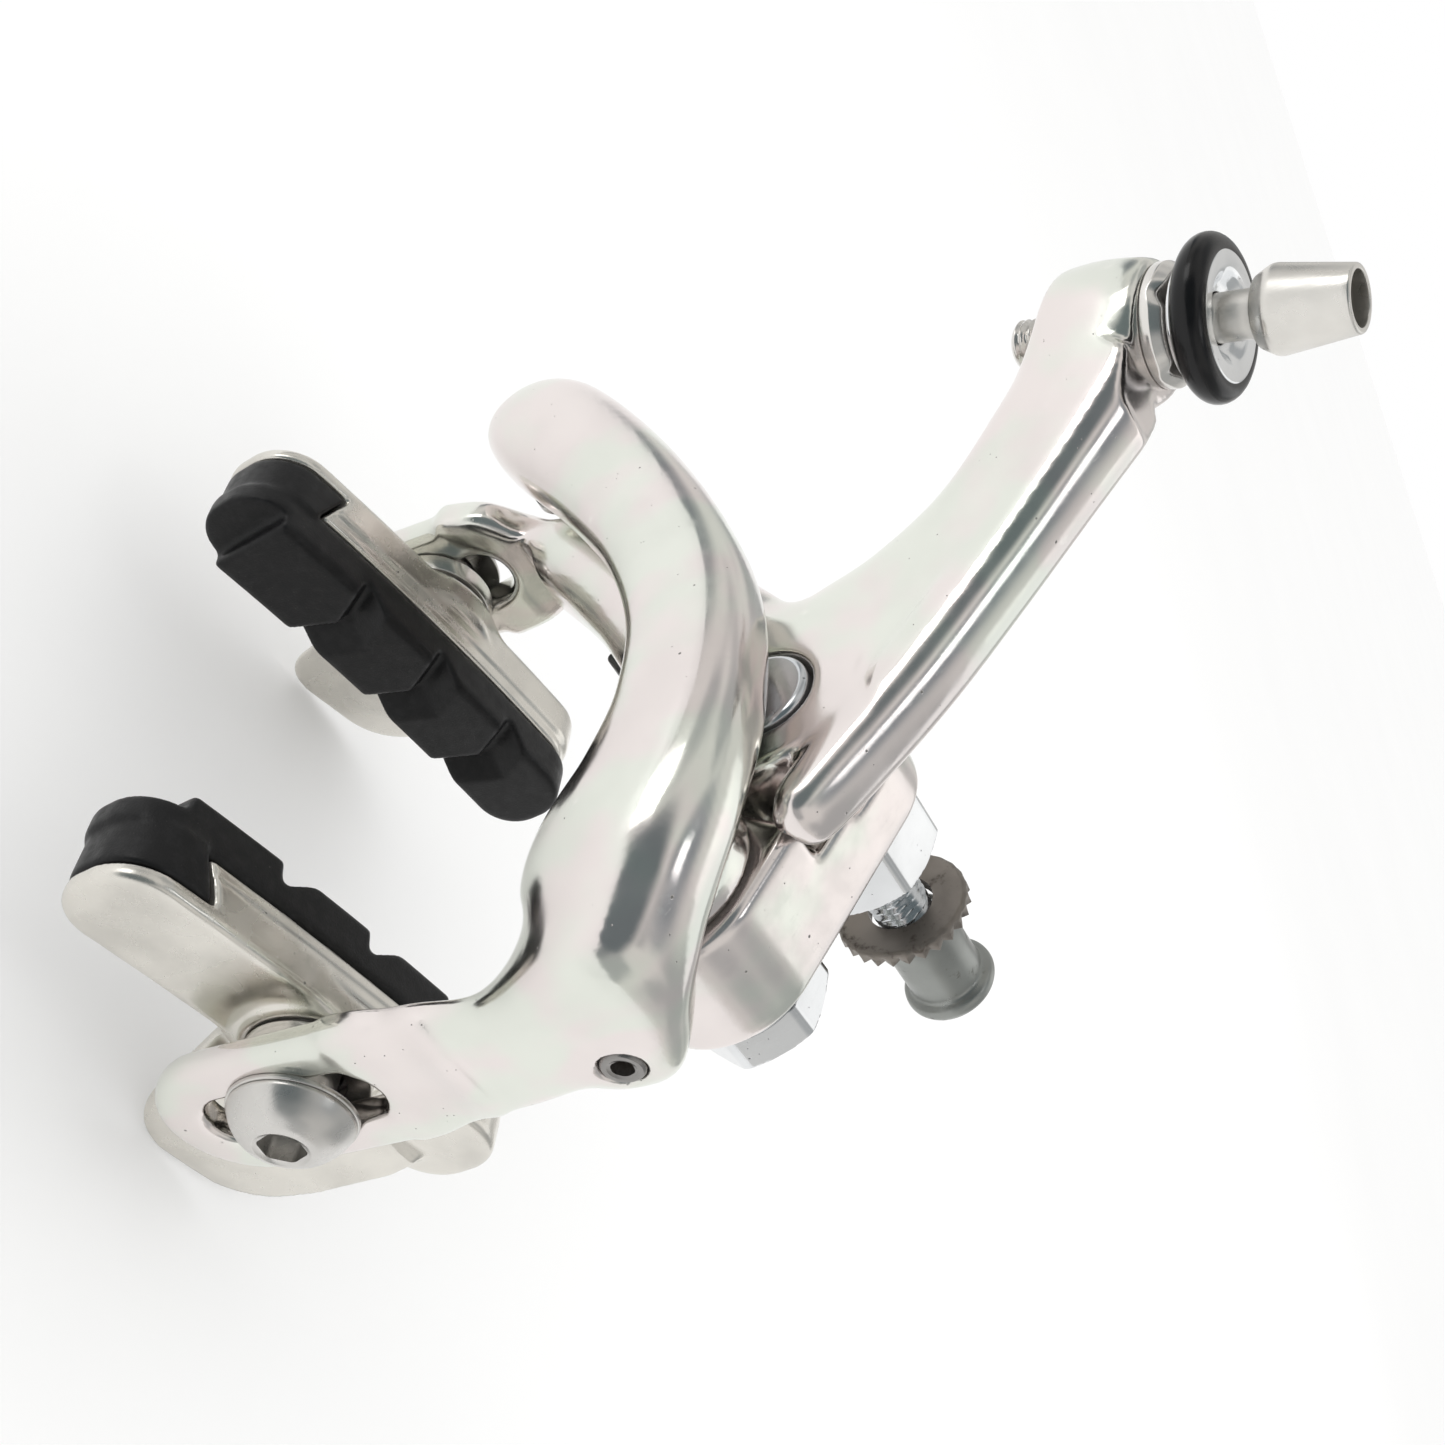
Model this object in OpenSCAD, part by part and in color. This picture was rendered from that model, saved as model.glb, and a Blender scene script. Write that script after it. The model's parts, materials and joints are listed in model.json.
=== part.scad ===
// Dual-pivot side-pull rim brake caliper for a road bicycle.
// Frame: millimetres, +Z up, +Y to the rear (towards the fork crown), -Y to the front.
// The origin is on the centre bolt's axis, on the face that seats against the fork crown.
// The cable side is -X. The rest pose is the caliper fully open, with the spring relaxed.

/* [Centre bolt] */
// Radius of the M6 mounting stud
stud_r = 3; // [3:0.5:3]
// Rear end of the stud, behind the seat face
stud_end = 17; // [14:1:18]
// Radius of the shank that the cable-side arm turns on
shank_r = 3.5; // [3.2:0.1:3.8]
// Radius of the round front head, flush in the arm
cap_r = 4.7; // [4.4:0.1:4.9]
// Size across the flats of the centre lock nut
lock_nut_flats = 13; // [12:0.5:14]
// Thickness of the centre lock nut
lock_nut_t = 7.5; // [6:0.5:8]

/* [Fork nut and washer] */
// Radius of the recessed sleeve nut's body, for an 8 mm bore in the fork
sleeve_r = 4; // [3.8:0.1:4.2]
// Radius of the sleeve nut's flange
sleeve_flange_r = 5; // [4.8:0.1:5.5]
// Rear face of the sleeve nut's flange
sleeve_end = 20.8; // [20:0.2:24]
// Radius of the serrated washer
serrated_r = 6.9; // [6:0.1:7.5]
// Number of serrations round the washer
serration_count = 26; // [18:1:32]

/* [Second pivot] */
// Second pivot's distance from the centre bolt, sideways
pivot_x = 16.5; // [16.2:0.1:16.8]
// Second pivot's height above the centre bolt
pivot_z = -9; // [-9.2:0.1:-8.8]
// Radius of the second pivot's shank
pivot_r = 3.5; // [3.2:0.1:3.8]
// Size across the flats of the second pivot's hex head
pivot_flats = 12; // [10:0.5:12]

/* [Bridge] */
// Thickness of the bridge round the centre bolt
bridge_t = 8; // [7.8:0.1:8.2]
// Radius of the bridge's end round the centre bolt
bridge_centre_r = 8.6; // [8.2:0.1:8.8]
// Radius of the bridge's end round the second pivot
bridge_pivot_r = 9; // [8.6:0.1:9]
// Extra thickness of the bridge round the second pivot
bridge_boss_t = 4.8; // [4:0.1:5]

/* [Pads] */
// Height of the pad bolts below the centre bolt (the reach)
reach = 43.5; // [42:0.5:45]
// Length of the height slots, end to end
slot_length = 18.2; // [16:0.1:18.4]
// Width of the height slots
slot_width = 6.6; // [6.4:0.1:6.8]
// Length of the rubber insert
pad_length = 49.5; // [48:0.5:52]
// Height of the rubber insert
pad_height = 10.4; // [9.6:0.1:11]
// Angle of the pads, rear end up
pad_pitch = 8; // [0:1:10]
// Radius of the domed pad bolt head
pad_head_r = 5.7; // [5.2:0.1:6]

/* [Cable adjuster] */
// Lean of the adjuster towards the middle, at its top
adjuster_lean = 20; // [16:1:22]
// Outer radius of the rubber ring on the adjuster knob
ring_r = 7.85; // [7.4:0.05:8]
// Radius of the adjuster's threaded barrel
barrel_r = 2.5; // [2.3:0.1:2.5]
// Radius of the bore that holds the cable housing's end
housing_r = 2.55; // [2.5:0.05:2.6]

/* [Hidden] */

smooth = 48;            // facets round a turned part
run_gap = 0.05;         // radial gap of a running fit
thread_gap = 0.02;      // radial gap where a nut or a bore sits on a thread

// layers along the centre bolt, from the rear to the front
bridge_rear = -lock_nut_t;
bridge_front = bridge_rear - bridge_t;
thrust_t = 0.6;
hub_rear = bridge_front - thrust_t;
hub_t = 8;
hub_front = hub_rear - hub_t;
cap_t = 2;
cap_proud = 0.3;
boss_front = bridge_front - bridge_boss_t;
c_hub_rear = boss_front - thrust_t;
c_layer_rear = hub_front - 0.8;
c_bore_front = c_layer_rear - 5;
c_cone_rear = c_layer_rear - 0.6;
c_hub_r = 8.6;
bush_wall = 1;
hub_r = 9.1;

// second pivot's head, from the bridge to the rear
head_washer_t = 0.6;
flange_t = 1;
pivot_head_t = 5;

// pad stack, measured from the arm's inner face towards the rim
pad_bolt_y = [-24, -20.8];        // left, right
plate_x = [32.4, 29.4];           // inner face of each arm's slot plate, from the middle
plate_t = [4, 3.2];
spacer = [1, 0];                  // extra thickness of the left side's convex washer
plate_top = [11.5, 19.5];           // the plate's top edge, above the pad bolt
head_washer_gap = 0.5;
concave_t = 2.2;
holder_back = 3.2;
holder_t = 6;
insert_seat = 3.4;
face_depth = 14;
pad_shift = -2.2;
rim_curve_r = 310;

// adjuster, measured along its axis from the rubber ring's middle plane
adjuster_origin = [-30.7, -26, 44.5];
boss_top = -4.9;
boss_bottom = -14.8;
barrel_bottom = -20;
knob_bottom = -2.4;
knob_top = 1.7;
knob_r = 6.3;
stop_shoulder = 4.4;
stop_big = 6;
stop_top = 13.4;
stop_big_r = 4.2;
stop_top_r = 3.1;
neck_r = 2.3;
cable_r = 1;
ring_tube_r = 1.65;

// arms: each row is x, y, z, half width across the path, half depth along Y, squareness
c_stations = [
    [-45.4, -33.6, -29.6, 2.6, 2.4, 2.2],
    [-43.6, -33.6, -28.0, 5.2, 4.2, 2.3],
    [-39.0, -33.4, -23.4, 6.6, 5.0, 2.5],
    [-29.5, -32.0, -15.8, 6.2, 4.9, 2.5],
    [-18.0, -30.8, -8.8, 6.0, 4.9, 2.5],
    [-6.0, -30.2, -4.2, 6.2, 4.9, 2.5],
    [6.0, -30.2, -3.0, 6.6, 5.0, 2.5],
    [15.0, -29.8, -4.6, 7.4, 5.4, 2.5],
    [22.5, -27.6, -8.6, 8.2, 6.8, 2.5],
    [29.0, -23.6, -13.0, 7.6, 7.8, 2.7],
    [31.8, -21.8, -20.0, 5.0, 7.9, 2.8],
    [31.2, -21.2, -29.0, 2.3, 7.8, 3.6]];
c_corner_stations = [
    [21.0, -22.0, -8.0, 3.0, 4.0, 2.3],
    [26.0, -20.4, -10.4, 5.0, 5.2, 2.4],
    [30.6, -18.6, -12.2, 5.4, 5.4, 2.4],
    [33.0, -18.2, -12.8, 4.4, 4.4, 2.4]];
y_upper_stations = [
    [3.0, -20.1, -2.0, 6.4, 3.9, 2.6],
    [-4.8, -20.2, 6.8, 10.2, 3.9, 2.6],
    [-10.4, -20.7, 14.0, 7.8, 4.0, 2.6],
    [-16.0, -22.2, 21.2, 6.2, 4.3, 2.6],
    [-23.2, -24.2, 27.8, 5.8, 4.9, 2.6],
    [-31.0, -26.0, 34.0, 5.9, 5.6, 2.6],
    [-36.6, -26.0, 37.0, 4.4, 5.0, 2.4]];
y_rib_stations = [
    [14.4, -21.0, 2.6, 1.2, 2.2, 2.2],
    [12.8, -20.8, 4.0, 2.4, 3.4, 2.4],
    [6.2, -20.5, 8.8, 3.0, 3.8, 2.5],
    [-1.0, -20.7, 14.6, 3.2, 4.0, 2.5],
    [-9.6, -21.8, 21.8, 3.2, 4.1, 2.5],
    [-18.2, -23.8, 29.4, 3.4, 4.4, 2.5],
    [-26.0, -25.6, 35.8, 4.0, 5.0, 2.5]];
y_lower_stations = [
    [2.0, -20.1, 1.0, 6.2, 3.9, 2.6],
    [-5.0, -20.1, -2.6, 8.2, 3.9, 2.6],
    [-13.2, -20.8, -9.0, 8.0, 4.2, 2.6],
    [-22.2, -21.6, -15.8, 6.8, 4.2, 2.6],
    [-29.8, -22.4, -23.4, 5.6, 5.2, 2.6],
    [-33.8, -22.6, -30.0, 3.8, 5.2, 2.8],
    [-34.0, -24.0, -38.0, 2.1, 7.8, 3.8]];
anchor = [-40.6, -24.6];          // x, z of the cable anchor bolt
anchor_face = -28.6;
screw_at = [33.2, -17.6, -12.2];
screw_length = 6.4;
slider_at = [-19.2, -15.4, -20.2];
coil_r = 6.1;
wire_r = 0.7;
coil_rear = -12.9;

function side_index(side) = side > 0 ? 1 : 0;

// ---- general shapes ----

// a turned part on the Y axis, from y0 to y1
module turn_y(r, y0, y1) {
    translate([0, y1, 0]) rotate([90, 0, 0]) cylinder(r = r, h = y1 - y0, $fn = smooth);
}

module hex_y(flats, y0, y1) {
    translate([0, y1, 0]) rotate([90, 0, 0]) cylinder(r = flats / sqrt(3), h = y1 - y0, $fn = 6);
}

module washer_y(outer, inner, y0, y1) {
    difference() {
        turn_y(outer, y0, y1);
        turn_y(inner, y0 - 1, y1 + 1);
    }
}

module tube_z(outer, inner, z0, z1) {
    difference() {
        translate([0, 0, z0]) cylinder(r = outer, h = z1 - z0, $fn = smooth);
        translate([0, 0, z0 - 1]) cylinder(r = inner, h = z1 - z0 + 2, $fn = smooth);
    }
}

function spline(a, b, c, d, t) =
    0.5 * (2 * b + (c - a) * t + (2 * a - 5 * b + 4 * c - d) * t * t
        + (3 * b - a - 3 * c + d) * t * t * t);

function at(rows, i) = rows[max(0, min(len(rows) - 1, i))];

function smooth_rows(rows, steps) = concat(
    [for (i = [0 : len(rows) - 2], k = [0 : steps - 1])
        spline(at(rows, i - 1), at(rows, i), at(rows, i + 1), at(rows, i + 2), k / steps)],
    [rows[len(rows) - 1]]);

function signed_power(v, p) = sign(v) * pow(abs(v), p);

function section(row, dir, count) =
    let (len_xz = norm([dir[0], dir[2]]), across = [dir[2] / len_xz, 0, -dir[0] / len_xz])
    [for (k = [0 : count - 1])
        let (a = 360 * (k + 0.5) / count)
        [row[0], row[1], row[2]]
        + across * row[3] * signed_power(cos(a), 2 / row[5])
        + [0, 1, 0] * row[4] * signed_power(sin(a), 2 / row[5])];

// a smooth solid through the stations
module loft(stations, steps = 3, count = 16) {
    rows = smooth_rows(stations, steps);
    last = len(rows) - 1;
    rings = [for (i = [0 : last])
        section(rows[i], at(rows, i + 1) - at(rows, i - 1), count)];
    points = [for (ring = rings, p = ring) p];
    sides = [for (i = [0 : last - 1], k = [0 : count - 1])
        let (n = (k + 1) % count, a = i * count + k, b = i * count + n,
            c = (i + 1) * count + n, d = (i + 1) * count + k)
        for (face = [[a, c, b], [a, d, c]]) face];
    first_cap = [for (k = [0 : count - 1]) k];
    last_cap = [for (k = [count - 1 : -1 : 0]) last * count + k];
    polyhedron(points = points, faces = concat([first_cap], sides, [last_cap]), convexity = 6);
}

// ---- slot plate at the foot of each arm ----

plate_r = 8;
slot_half = (slot_length - slot_width) / 2;

module slot_plate(side) {
    i = side_index(side);
    x0 = side > 0 ? plate_x[1] : -plate_x[0] - plate_t[0];
    translate([x0, pad_bolt_y[i], -reach])
        rotate([90, 0, 90]) linear_extrude(plate_t[i]) {
            translate([0, -slot_half]) circle(r = plate_r, $fn = smooth);
            translate([-plate_r, -slot_half]) square([2 * plate_r, slot_half + plate_top[i]]);
        }
}

module slot_cut(side) {
    i = side_index(side);
    reach_x = plate_x[i] + plate_t[i] / 2;
    translate([side * reach_x, pad_bolt_y[i], -reach])
        rotate([90, 0, 90]) translate([0, 0, -12]) linear_extrude(24) {
            for (end = [-1, 1]) translate([0, end * slot_half]) circle(r = slot_width / 2, $fn = smooth);
            square([slot_width, 2 * slot_half], center = true);
        }
}

// room in front of the plate's faces for the washers, the shoe and the bolt's head
module plate_clearance(side) {
    i = side_index(side);
    low = -reach - 20;
    high = -reach + slot_half + plate_r;
    translate([side > 0 ? plate_x[1] - 12 : -plate_x[0], pad_bolt_y[i] - 12, low])
        cube([12, 24, high - low]);
    translate([side > 0 ? plate_x[1] + plate_t[1] : -plate_x[0] - plate_t[0] - 12, pad_bolt_y[i] - 12, low])
        cube([12, 24, high - low]);
}

// ---- bridge and centre bolt ----

link_length = norm([pivot_x, pivot_z]);
link_angle = atan2(pivot_z, pivot_x);

module at_pivot() {
    translate([pivot_x, 0, pivot_z]) children();
}

// the link's flat outline: two round ends and the web between them
// the link's outline: an arc round each pivot, joined by the two tangents
module bridge_outline() {
    tangent = acos((bridge_centre_r - bridge_pivot_r) / link_length);
    polygon(concat(
        [for (k = [0 : 24]) let (t = tangent + (360 - 2 * tangent) * k / 24)
            [bridge_centre_r * cos(t), bridge_centre_r * sin(t)]],
        [for (k = [0 : 24]) let (t = -tangent + 2 * tangent * k / 24)
            [link_length + bridge_pivot_r * cos(t), bridge_pivot_r * sin(t)]]));
}

module bridge() {
    spring_floor = coil_rear + wire_r + 0.4;
    color("gainsboro") difference() {
        translate([0, bridge_rear, 0]) rotate([90, 0, 0]) rotate([0, 0, link_angle])
            linear_extrude(bridge_t + bridge_boss_t) bridge_outline();
        // step back to clear the cable-side arm's hub
        turn_y(hub_r + 1.2, boss_front - 1, bridge_front);
        // and to clear the foot of its upper limb
        rotate([0, -link_angle, 0]) translate([-1, boss_front - 1, 2])
            cube([hub_r + 2.2, bridge_front - boss_front + 1.3, bridge_pivot_r]);
        turn_y(shank_r + thread_gap, bridge_front - 1, bridge_rear + 1);
        at_pivot() turn_y(pivot_r + thread_gap, boss_front - 1, bridge_rear + 1);
        // pocket for the return spring's coil
        difference() {
            turn_y(coil_r + wire_r + 0.3, bridge_front - 1, spring_floor);
            turn_y(coil_r - wire_r - 0.3, bridge_front - 2, spring_floor + 1);
        }
        // way out for the spring's leg
        rotate([0, leg_turn, 0]) translate([coil_r - wire_r - 0.1, bridge_front - 1, -12])
            cube([2 * wire_r + 0.2, spring_floor - bridge_front + 0.8, 12]);
    }
}

module centre_bolt() {
    color("whitesmoke") difference() {
        union() {
            turn_y(cap_r, hub_front - cap_proud, hub_front - cap_proud + cap_t);
            turn_y(shank_r, hub_front, bridge_rear);
            turn_y(stud_r, bridge_rear - 1, stud_end);
        }
        // thread grooves on the stud
        for (k = [0 : 15]) translate([0, 0.6 + k, 0]) washer_y(stud_r + 1, stud_r - 0.35, 0, 0.5);
    }
}

module centre_lock_nut() {
    color("lightgray") difference() {
        intersection() {
            hex_y(lock_nut_flats, bridge_rear, 0);
            translate([0, bridge_rear, 0]) rotate([-90, 0, 0])
                cylinder(r1 = 12, r2 = lock_nut_flats / 2, h = lock_nut_t + 0.9, $fn = smooth);
        }
        turn_y(stud_r + thread_gap, bridge_rear - 1, 1);
    }
}

module pivot_bolt() {
    washer_face = bridge_rear + head_washer_t;
    color("whitesmoke") at_pivot() union() {
        turn_y(pivot_r, c_bore_front + 0.4, washer_face + 0.5);
        turn_y(6.9, washer_face, washer_face + flange_t);
        hex_y(pivot_flats, washer_face, washer_face + flange_t + pivot_head_t);
    }
}

module pivot_head_washer() {
    color("dimgray") at_pivot()
        washer_y(7.2, pivot_r + run_gap, bridge_rear, bridge_rear + head_washer_t);
}

module centre_thrust_washer() {
    color("dimgray") washer_y(5, shank_r + run_gap, hub_rear, bridge_front);
}

module pivot_thrust_washer() {
    color("dimgray") at_pivot() washer_y(7.6, pivot_r + run_gap, c_hub_rear, boss_front);
}

// direction of the spring's leg, as a turn about Y from straight down
leg_turn = atan2(-slider_at[0], -slider_at[2]) + asin(coil_r / norm([slider_at[0], slider_at[2]]));

module return_spring() {
    leg_length = sqrt(pow(slider_at[0], 2) + pow(slider_at[2], 2) - pow(coil_r, 2)) - 1.6;
    leg_r = wire_r - 0.1;
    color("slategray") union() {
        translate([0, coil_rear, 0]) rotate([90, 0, 0]) rotate_extrude($fn = smooth)
            translate([coil_r - wire_r, 0]) square([2 * wire_r, 3 * wire_r]);
        rotate([0, leg_turn, 0]) translate([coil_r, coil_rear - 1.5 * wire_r, -leg_length])
            cylinder(r = leg_r, h = leg_length, $fn = 24);
    }
}

module serrated_washer() {
    front = 6.9;
    rear = 8.6;
    color("saddlebrown") difference() {
        turn_y(serrated_r, front, rear);
        turn_y(stud_r + 0.4, front - 1, rear + 1);
        for (k = [0 : serration_count - 1])
            rotate([0, 360 * k / serration_count, 0])
                translate([serrated_r + 0.1, rear, 0]) rotate([0, 0, 45])
                    cube([1.5, 1.5, 0.8], center = true);
    }
}

module sleeve_nut() {
    front = 10.2;
    flange = 1.2;
    socket_depth = 5;
    color("gray") difference() {
        union() {
            turn_y(sleeve_r, front, sleeve_end - flange);
            turn_y(sleeve_flange_r, sleeve_end - flange, sleeve_end);
        }
        turn_y(stud_r + thread_gap, front - 1, stud_end + 0.4);
        hex_y(5, sleeve_end - socket_depth, sleeve_end + 1);
        turn_y(3.6, sleeve_end - 1, sleeve_end + 1);
    }
}

// ---- cable-side arm ----

module at_adjuster() {
    translate(adjuster_origin) rotate([0, adjuster_lean, 0]) children();
}

module y_arm() {
    boss_r = 6.5;
    color("gainsboro") difference() {
        union() {
            turn_y(hub_r, hub_front, hub_rear);
            loft(y_upper_stations);
            loft(y_rib_stations);
            loft(y_lower_stations);
            slot_plate(-1);
            at_adjuster() translate([0, 0, boss_bottom])
                cylinder(r = boss_r, h = boss_top - boss_bottom, $fn = smooth);
        }
        turn_y(shank_r + run_gap + bush_wall, hub_front - 2, hub_rear + 2);
        turn_y(cap_r + 0.3, hub_front - 3, hub_front - cap_proud + cap_t + 0.1);
        at_adjuster() translate([0, 0, boss_bottom - 8])
            cylinder(r = barrel_r + run_gap, h = 20, $fn = smooth);
        at_adjuster() translate([0, 0, boss_top]) cylinder(r = 12, h = 12, $fn = smooth);
        slider_block(0.02);
        // room for the cable anchor
        translate([anchor[0], 0, anchor[1]]) turn_y(6.3, anchor_face - 8, anchor_face + 7);
        slot_cut(-1);
        plate_clearance(-1);
        // flat front and rear faces round the hub
        translate([-11, hub_front - 5, -11]) cube([40, 5, 22]);
        translate([-11, hub_rear, -11]) cube([40, 5, 22]);
        // room for the other arm's hub and for the bridge's thick end
        at_pivot() turn_y(bridge_pivot_r + 0.5, hub_front - 2, hub_rear + 1);
        rotate([0, -link_angle, 0]) translate([hub_r + 0.1, boss_front - 0.5, -bridge_pivot_r - 0.5])
            cube([link_length - hub_r, hub_rear - boss_front + 1.5, 2 * bridge_pivot_r + 1]);
    }
}

module centre_bush() {
    color("darkgoldenrod")
        washer_y(shank_r + run_gap + bush_wall, shank_r + run_gap,
            hub_front - cap_proud + cap_t + 0.1, hub_rear);
}

module slider_block(grow) {
    low = [-2.4, -2.6, -3] - [grow, grow, grow];
    translate(slider_at) rotate([0, leg_turn, 0]) translate(low)
        cube([4.4, 4.4, 5.2] + 2 * [grow, grow, grow]);
}

module spring_slider() {
    color("black") difference() {
        slider_block(0);
        // groove for the spring's leg
        translate([slider_at[0], coil_rear - 1.5 * wire_r, slider_at[2]])
            rotate([0, leg_turn, 0]) translate([0, 0, -2.2])
                cylinder(r = wire_r + 0.1, h = 7, $fn = 24);
    }
}

module detent_washer() {
    color("silver") at_adjuster() difference() {
        tube_z(5.9, barrel_r + 0.3, boss_top, knob_bottom - 0.3);
        // dips of the click face
        for (k = [0 : 3]) rotate([0, 0, 90 * k + 20]) translate([0, 0, knob_bottom + 0.6])
            rotate([0, 90, 0]) cylinder(r = 1.6, h = 8, $fn = 24);
    }
}

// ---- front arm ----

module c_arm() {
    slab = 12;
    color("whitesmoke") difference() {
        union() {
            loft(c_stations);
            slot_plate(1);
            loft(c_corner_stations);
            at_pivot() turn_y(c_hub_r, c_cone_rear, c_hub_rear);
            at_pivot() translate([0, c_cone_rear, 0]) rotate([90, 0, 0])
                cylinder(r1 = c_hub_r, r2 = 5.6, h = c_cone_rear - c_bore_front + 1, $fn = smooth);
        }
        at_pivot() turn_y(pivot_r + run_gap + bush_wall, c_bore_front, c_hub_rear + 10);
        // swing room of the cable-side arm
        turn_y(hub_r + 0.5, c_layer_rear, c_layer_rear + slab);
        translate([-60, c_layer_rear, -60]) cube([67, slab, 80]);
        translate([6, c_layer_rear, 0.5]) cube([16, slab, 20]);
        // room for the bridge's boss
        at_pivot() turn_y(bridge_pivot_r + 0.5, c_hub_rear, c_hub_rear + 20);
        // seat of the cable anchor
        translate([anchor[0] - 9, anchor_face, anchor[1] - 9]) cube([18, 10, 18]);
        translate([anchor[0], 0, anchor[1]]) turn_y(2.5 + thread_gap, anchor_face - 6.5, anchor_face + 1);
        translate([screw_at[0] - screw_length - 2, screw_at[1], screw_at[2]]) rotate([0, 90, 0])
            cylinder(r = 2 + thread_gap, h = 20, $fn = smooth);
        slot_cut(1);
        plate_clearance(1);
    }
}

module pivot_bush() {
    color("darkgoldenrod") at_pivot()
        washer_y(pivot_r + run_gap + bush_wall, pivot_r + run_gap, c_bore_front + 0.2, c_hub_rear);
}

module cable_anchor_washer() {
    color("silver") translate([anchor[0], 0, anchor[1]]) difference() {
        washer_y(5.6, 2.6, anchor_face, anchor_face + 1.8);
        // groove that the cable lies in
        translate([3.6, anchor_face, -8]) cylinder(r = 0.85, h = 16, $fn = 24);
    }
}

module cable_anchor_bolt() {
    seat = anchor_face + 1.8;
    color("silver") translate([anchor[0], 0, anchor[1]]) difference() {
        union() {
            turn_y(2.5, anchor_face - 6, seat + 0.5);
            turn_y(4.4, seat, seat + 3.6);
        }
        hex_y(4, seat + 1, seat + 5);
    }
}

module centering_screw() {
    color("dimgray") translate(screw_at) rotate([0, -90, 0]) difference() {
        union() {
            cylinder(r = 2, h = screw_length - 1, $fn = smooth);
            cylinder(r = 1.2, h = screw_length, $fn = smooth);
        }
        translate([0, 0, -1]) cylinder(r = 2 / sqrt(3), h = 3.4, $fn = 6);
    }
}

// ---- adjuster ----

module housing_stop() {
    step = 0.8;
    color("silver") at_adjuster() difference() {
        union() {
            translate([0, 0, knob_bottom + step]) cylinder(r = neck_r, h = stop_shoulder + 1, $fn = smooth);
            rotate_extrude($fn = smooth)
                polygon([[0, stop_shoulder - 1], [neck_r, stop_shoulder - 1], [neck_r, stop_shoulder],
                    [3.5, stop_shoulder], [stop_big_r, stop_big], [stop_top_r, stop_top], [0, stop_top]]);
        }
        translate([0, 0, stop_shoulder + 0.6]) cylinder(r = housing_r, h = 12, $fn = smooth);
        translate([0, 0, knob_bottom]) cylinder(r = cable_r, h = 20, $fn = smooth);
    }
}

module adjuster_barrel() {
    pitch = 0.8;
    depth = 0.3;
    turns = floor((boss_bottom - barrel_bottom) / pitch);
    color("lightgray") at_adjuster() difference() {
        translate([0, 0, barrel_bottom]) cylinder(r = barrel_r, h = knob_bottom - barrel_bottom, $fn = smooth);
        translate([0, 0, barrel_bottom - 1]) cylinder(r = cable_r, h = 30, $fn = smooth);
        // thread grooves on the end that shows
        for (k = [0 : turns - 1]) translate([0, 0, barrel_bottom + 0.5 + k * pitch])
            tube_z(barrel_r + 1, barrel_r - depth, 0, pitch / 2);
    }
}

module adjuster_knob() {
    rim = 0.5;
    groove = ring_r - 2 * ring_tube_r;
    color("silver") at_adjuster() difference() {
        rotate_extrude($fn = smooth)
            polygon([[0, knob_bottom], [knob_r - rim, knob_bottom], [knob_r - rim, -ring_tube_r],
                [groove - 0.05, -ring_tube_r], [groove - 0.05, ring_tube_r - 0.6], [knob_r - 0.9, ring_tube_r - 0.6],
                [knob_r, knob_top - 0.3], [knob_r - 0.4, knob_top], [0, knob_top]]);
        translate([0, 0, knob_bottom + 0.7]) cylinder(r = neck_r + run_gap, h = 8, $fn = smooth);
        translate([0, 0, knob_bottom - 1]) cylinder(r = cable_r, h = 8, $fn = smooth);
        adjuster_ring_shape(0.05);
    }
}

module adjuster_ring_shape(grow) {
    rotate_extrude($fn = smooth) translate([ring_r - ring_tube_r, 0])
        circle(r = ring_tube_r + grow, $fn = 24);
}

module adjuster_ring() {
    color("black") at_adjuster() adjuster_ring_shape(0);
}

// ---- shoes: x runs from the arm's inner face towards the rim ----

module at_pad(side) {
    i = side_index(side);
    translate([side * plate_x[i], pad_bolt_y[i], -reach])
        mirror([side > 0 ? 1 : 0, 0, 0]) children();
}

module at_shoe(side) {
    at_pad(side) translate([spacer[side_index(side)], 0, 0]) rotate([pad_pitch, 0, 0]) children();
}

module turn_x(r, x0, x1) {
    translate([x0, 0, 0]) rotate([0, 90, 0]) cylinder(r = r, h = x1 - x0, $fn = smooth);
}

// the pair of washers meets on a spherical face round this centre
ball_r = 9;
ball_x = 9.5;
ball_gap = 0.05;

module concave_washer(side) {
    color("silver") at_pad(side) difference() {
        turn_x(6, 0, concave_t);
        turn_x(stud_r + 0.9, -1, concave_t + 1);
        translate([ball_x - ball_gap, 0, 0]) sphere(r = ball_r, $fn = smooth);
    }
}

module convex_washer(side) {
    color("silver") at_pad(side) difference() {
        intersection() {
            turn_x(5.6, 0, holder_back + spacer[side_index(side)]);
            translate([ball_x, 0, 0]) sphere(r = ball_r, $fn = smooth);
        }
        turn_x(stud_r + 0.3, -1, holder_back + 3);
    }
}

module pad_head_washer(side) {
    seat = -plate_t[side_index(side)];
    outer = seat - head_washer_gap;
    color("silver") at_pad(side) difference() {
        turn_x(5.9, outer, seat);
        turn_x(stud_r + 0.3, outer - 1, 0);
    }
}

module pad_bolt(side) {
    seat = -plate_t[side_index(side)] - head_washer_gap;
    dome_t = 3.4;
    dome_r = (pad_head_r * pad_head_r + dome_t * dome_t) / (2 * dome_t);
    color("silver") at_pad(side) difference() {
        union() {
            turn_x(stud_r, seat - 0.5, holder_back + spacer[side_index(side)] + 4.6);
            intersection() {
                turn_x(pad_head_r, seat - dome_t + 0.5, seat);
                translate([seat - dome_t + dome_r, 0, 0]) sphere(r = dome_r, $fn = 96);
            }
        }
        translate([seat - 5, 0, 0]) rotate([0, 90, 0]) cylinder(r = 4 / sqrt(3), h = 4, $fn = 6);
    }
}

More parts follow.
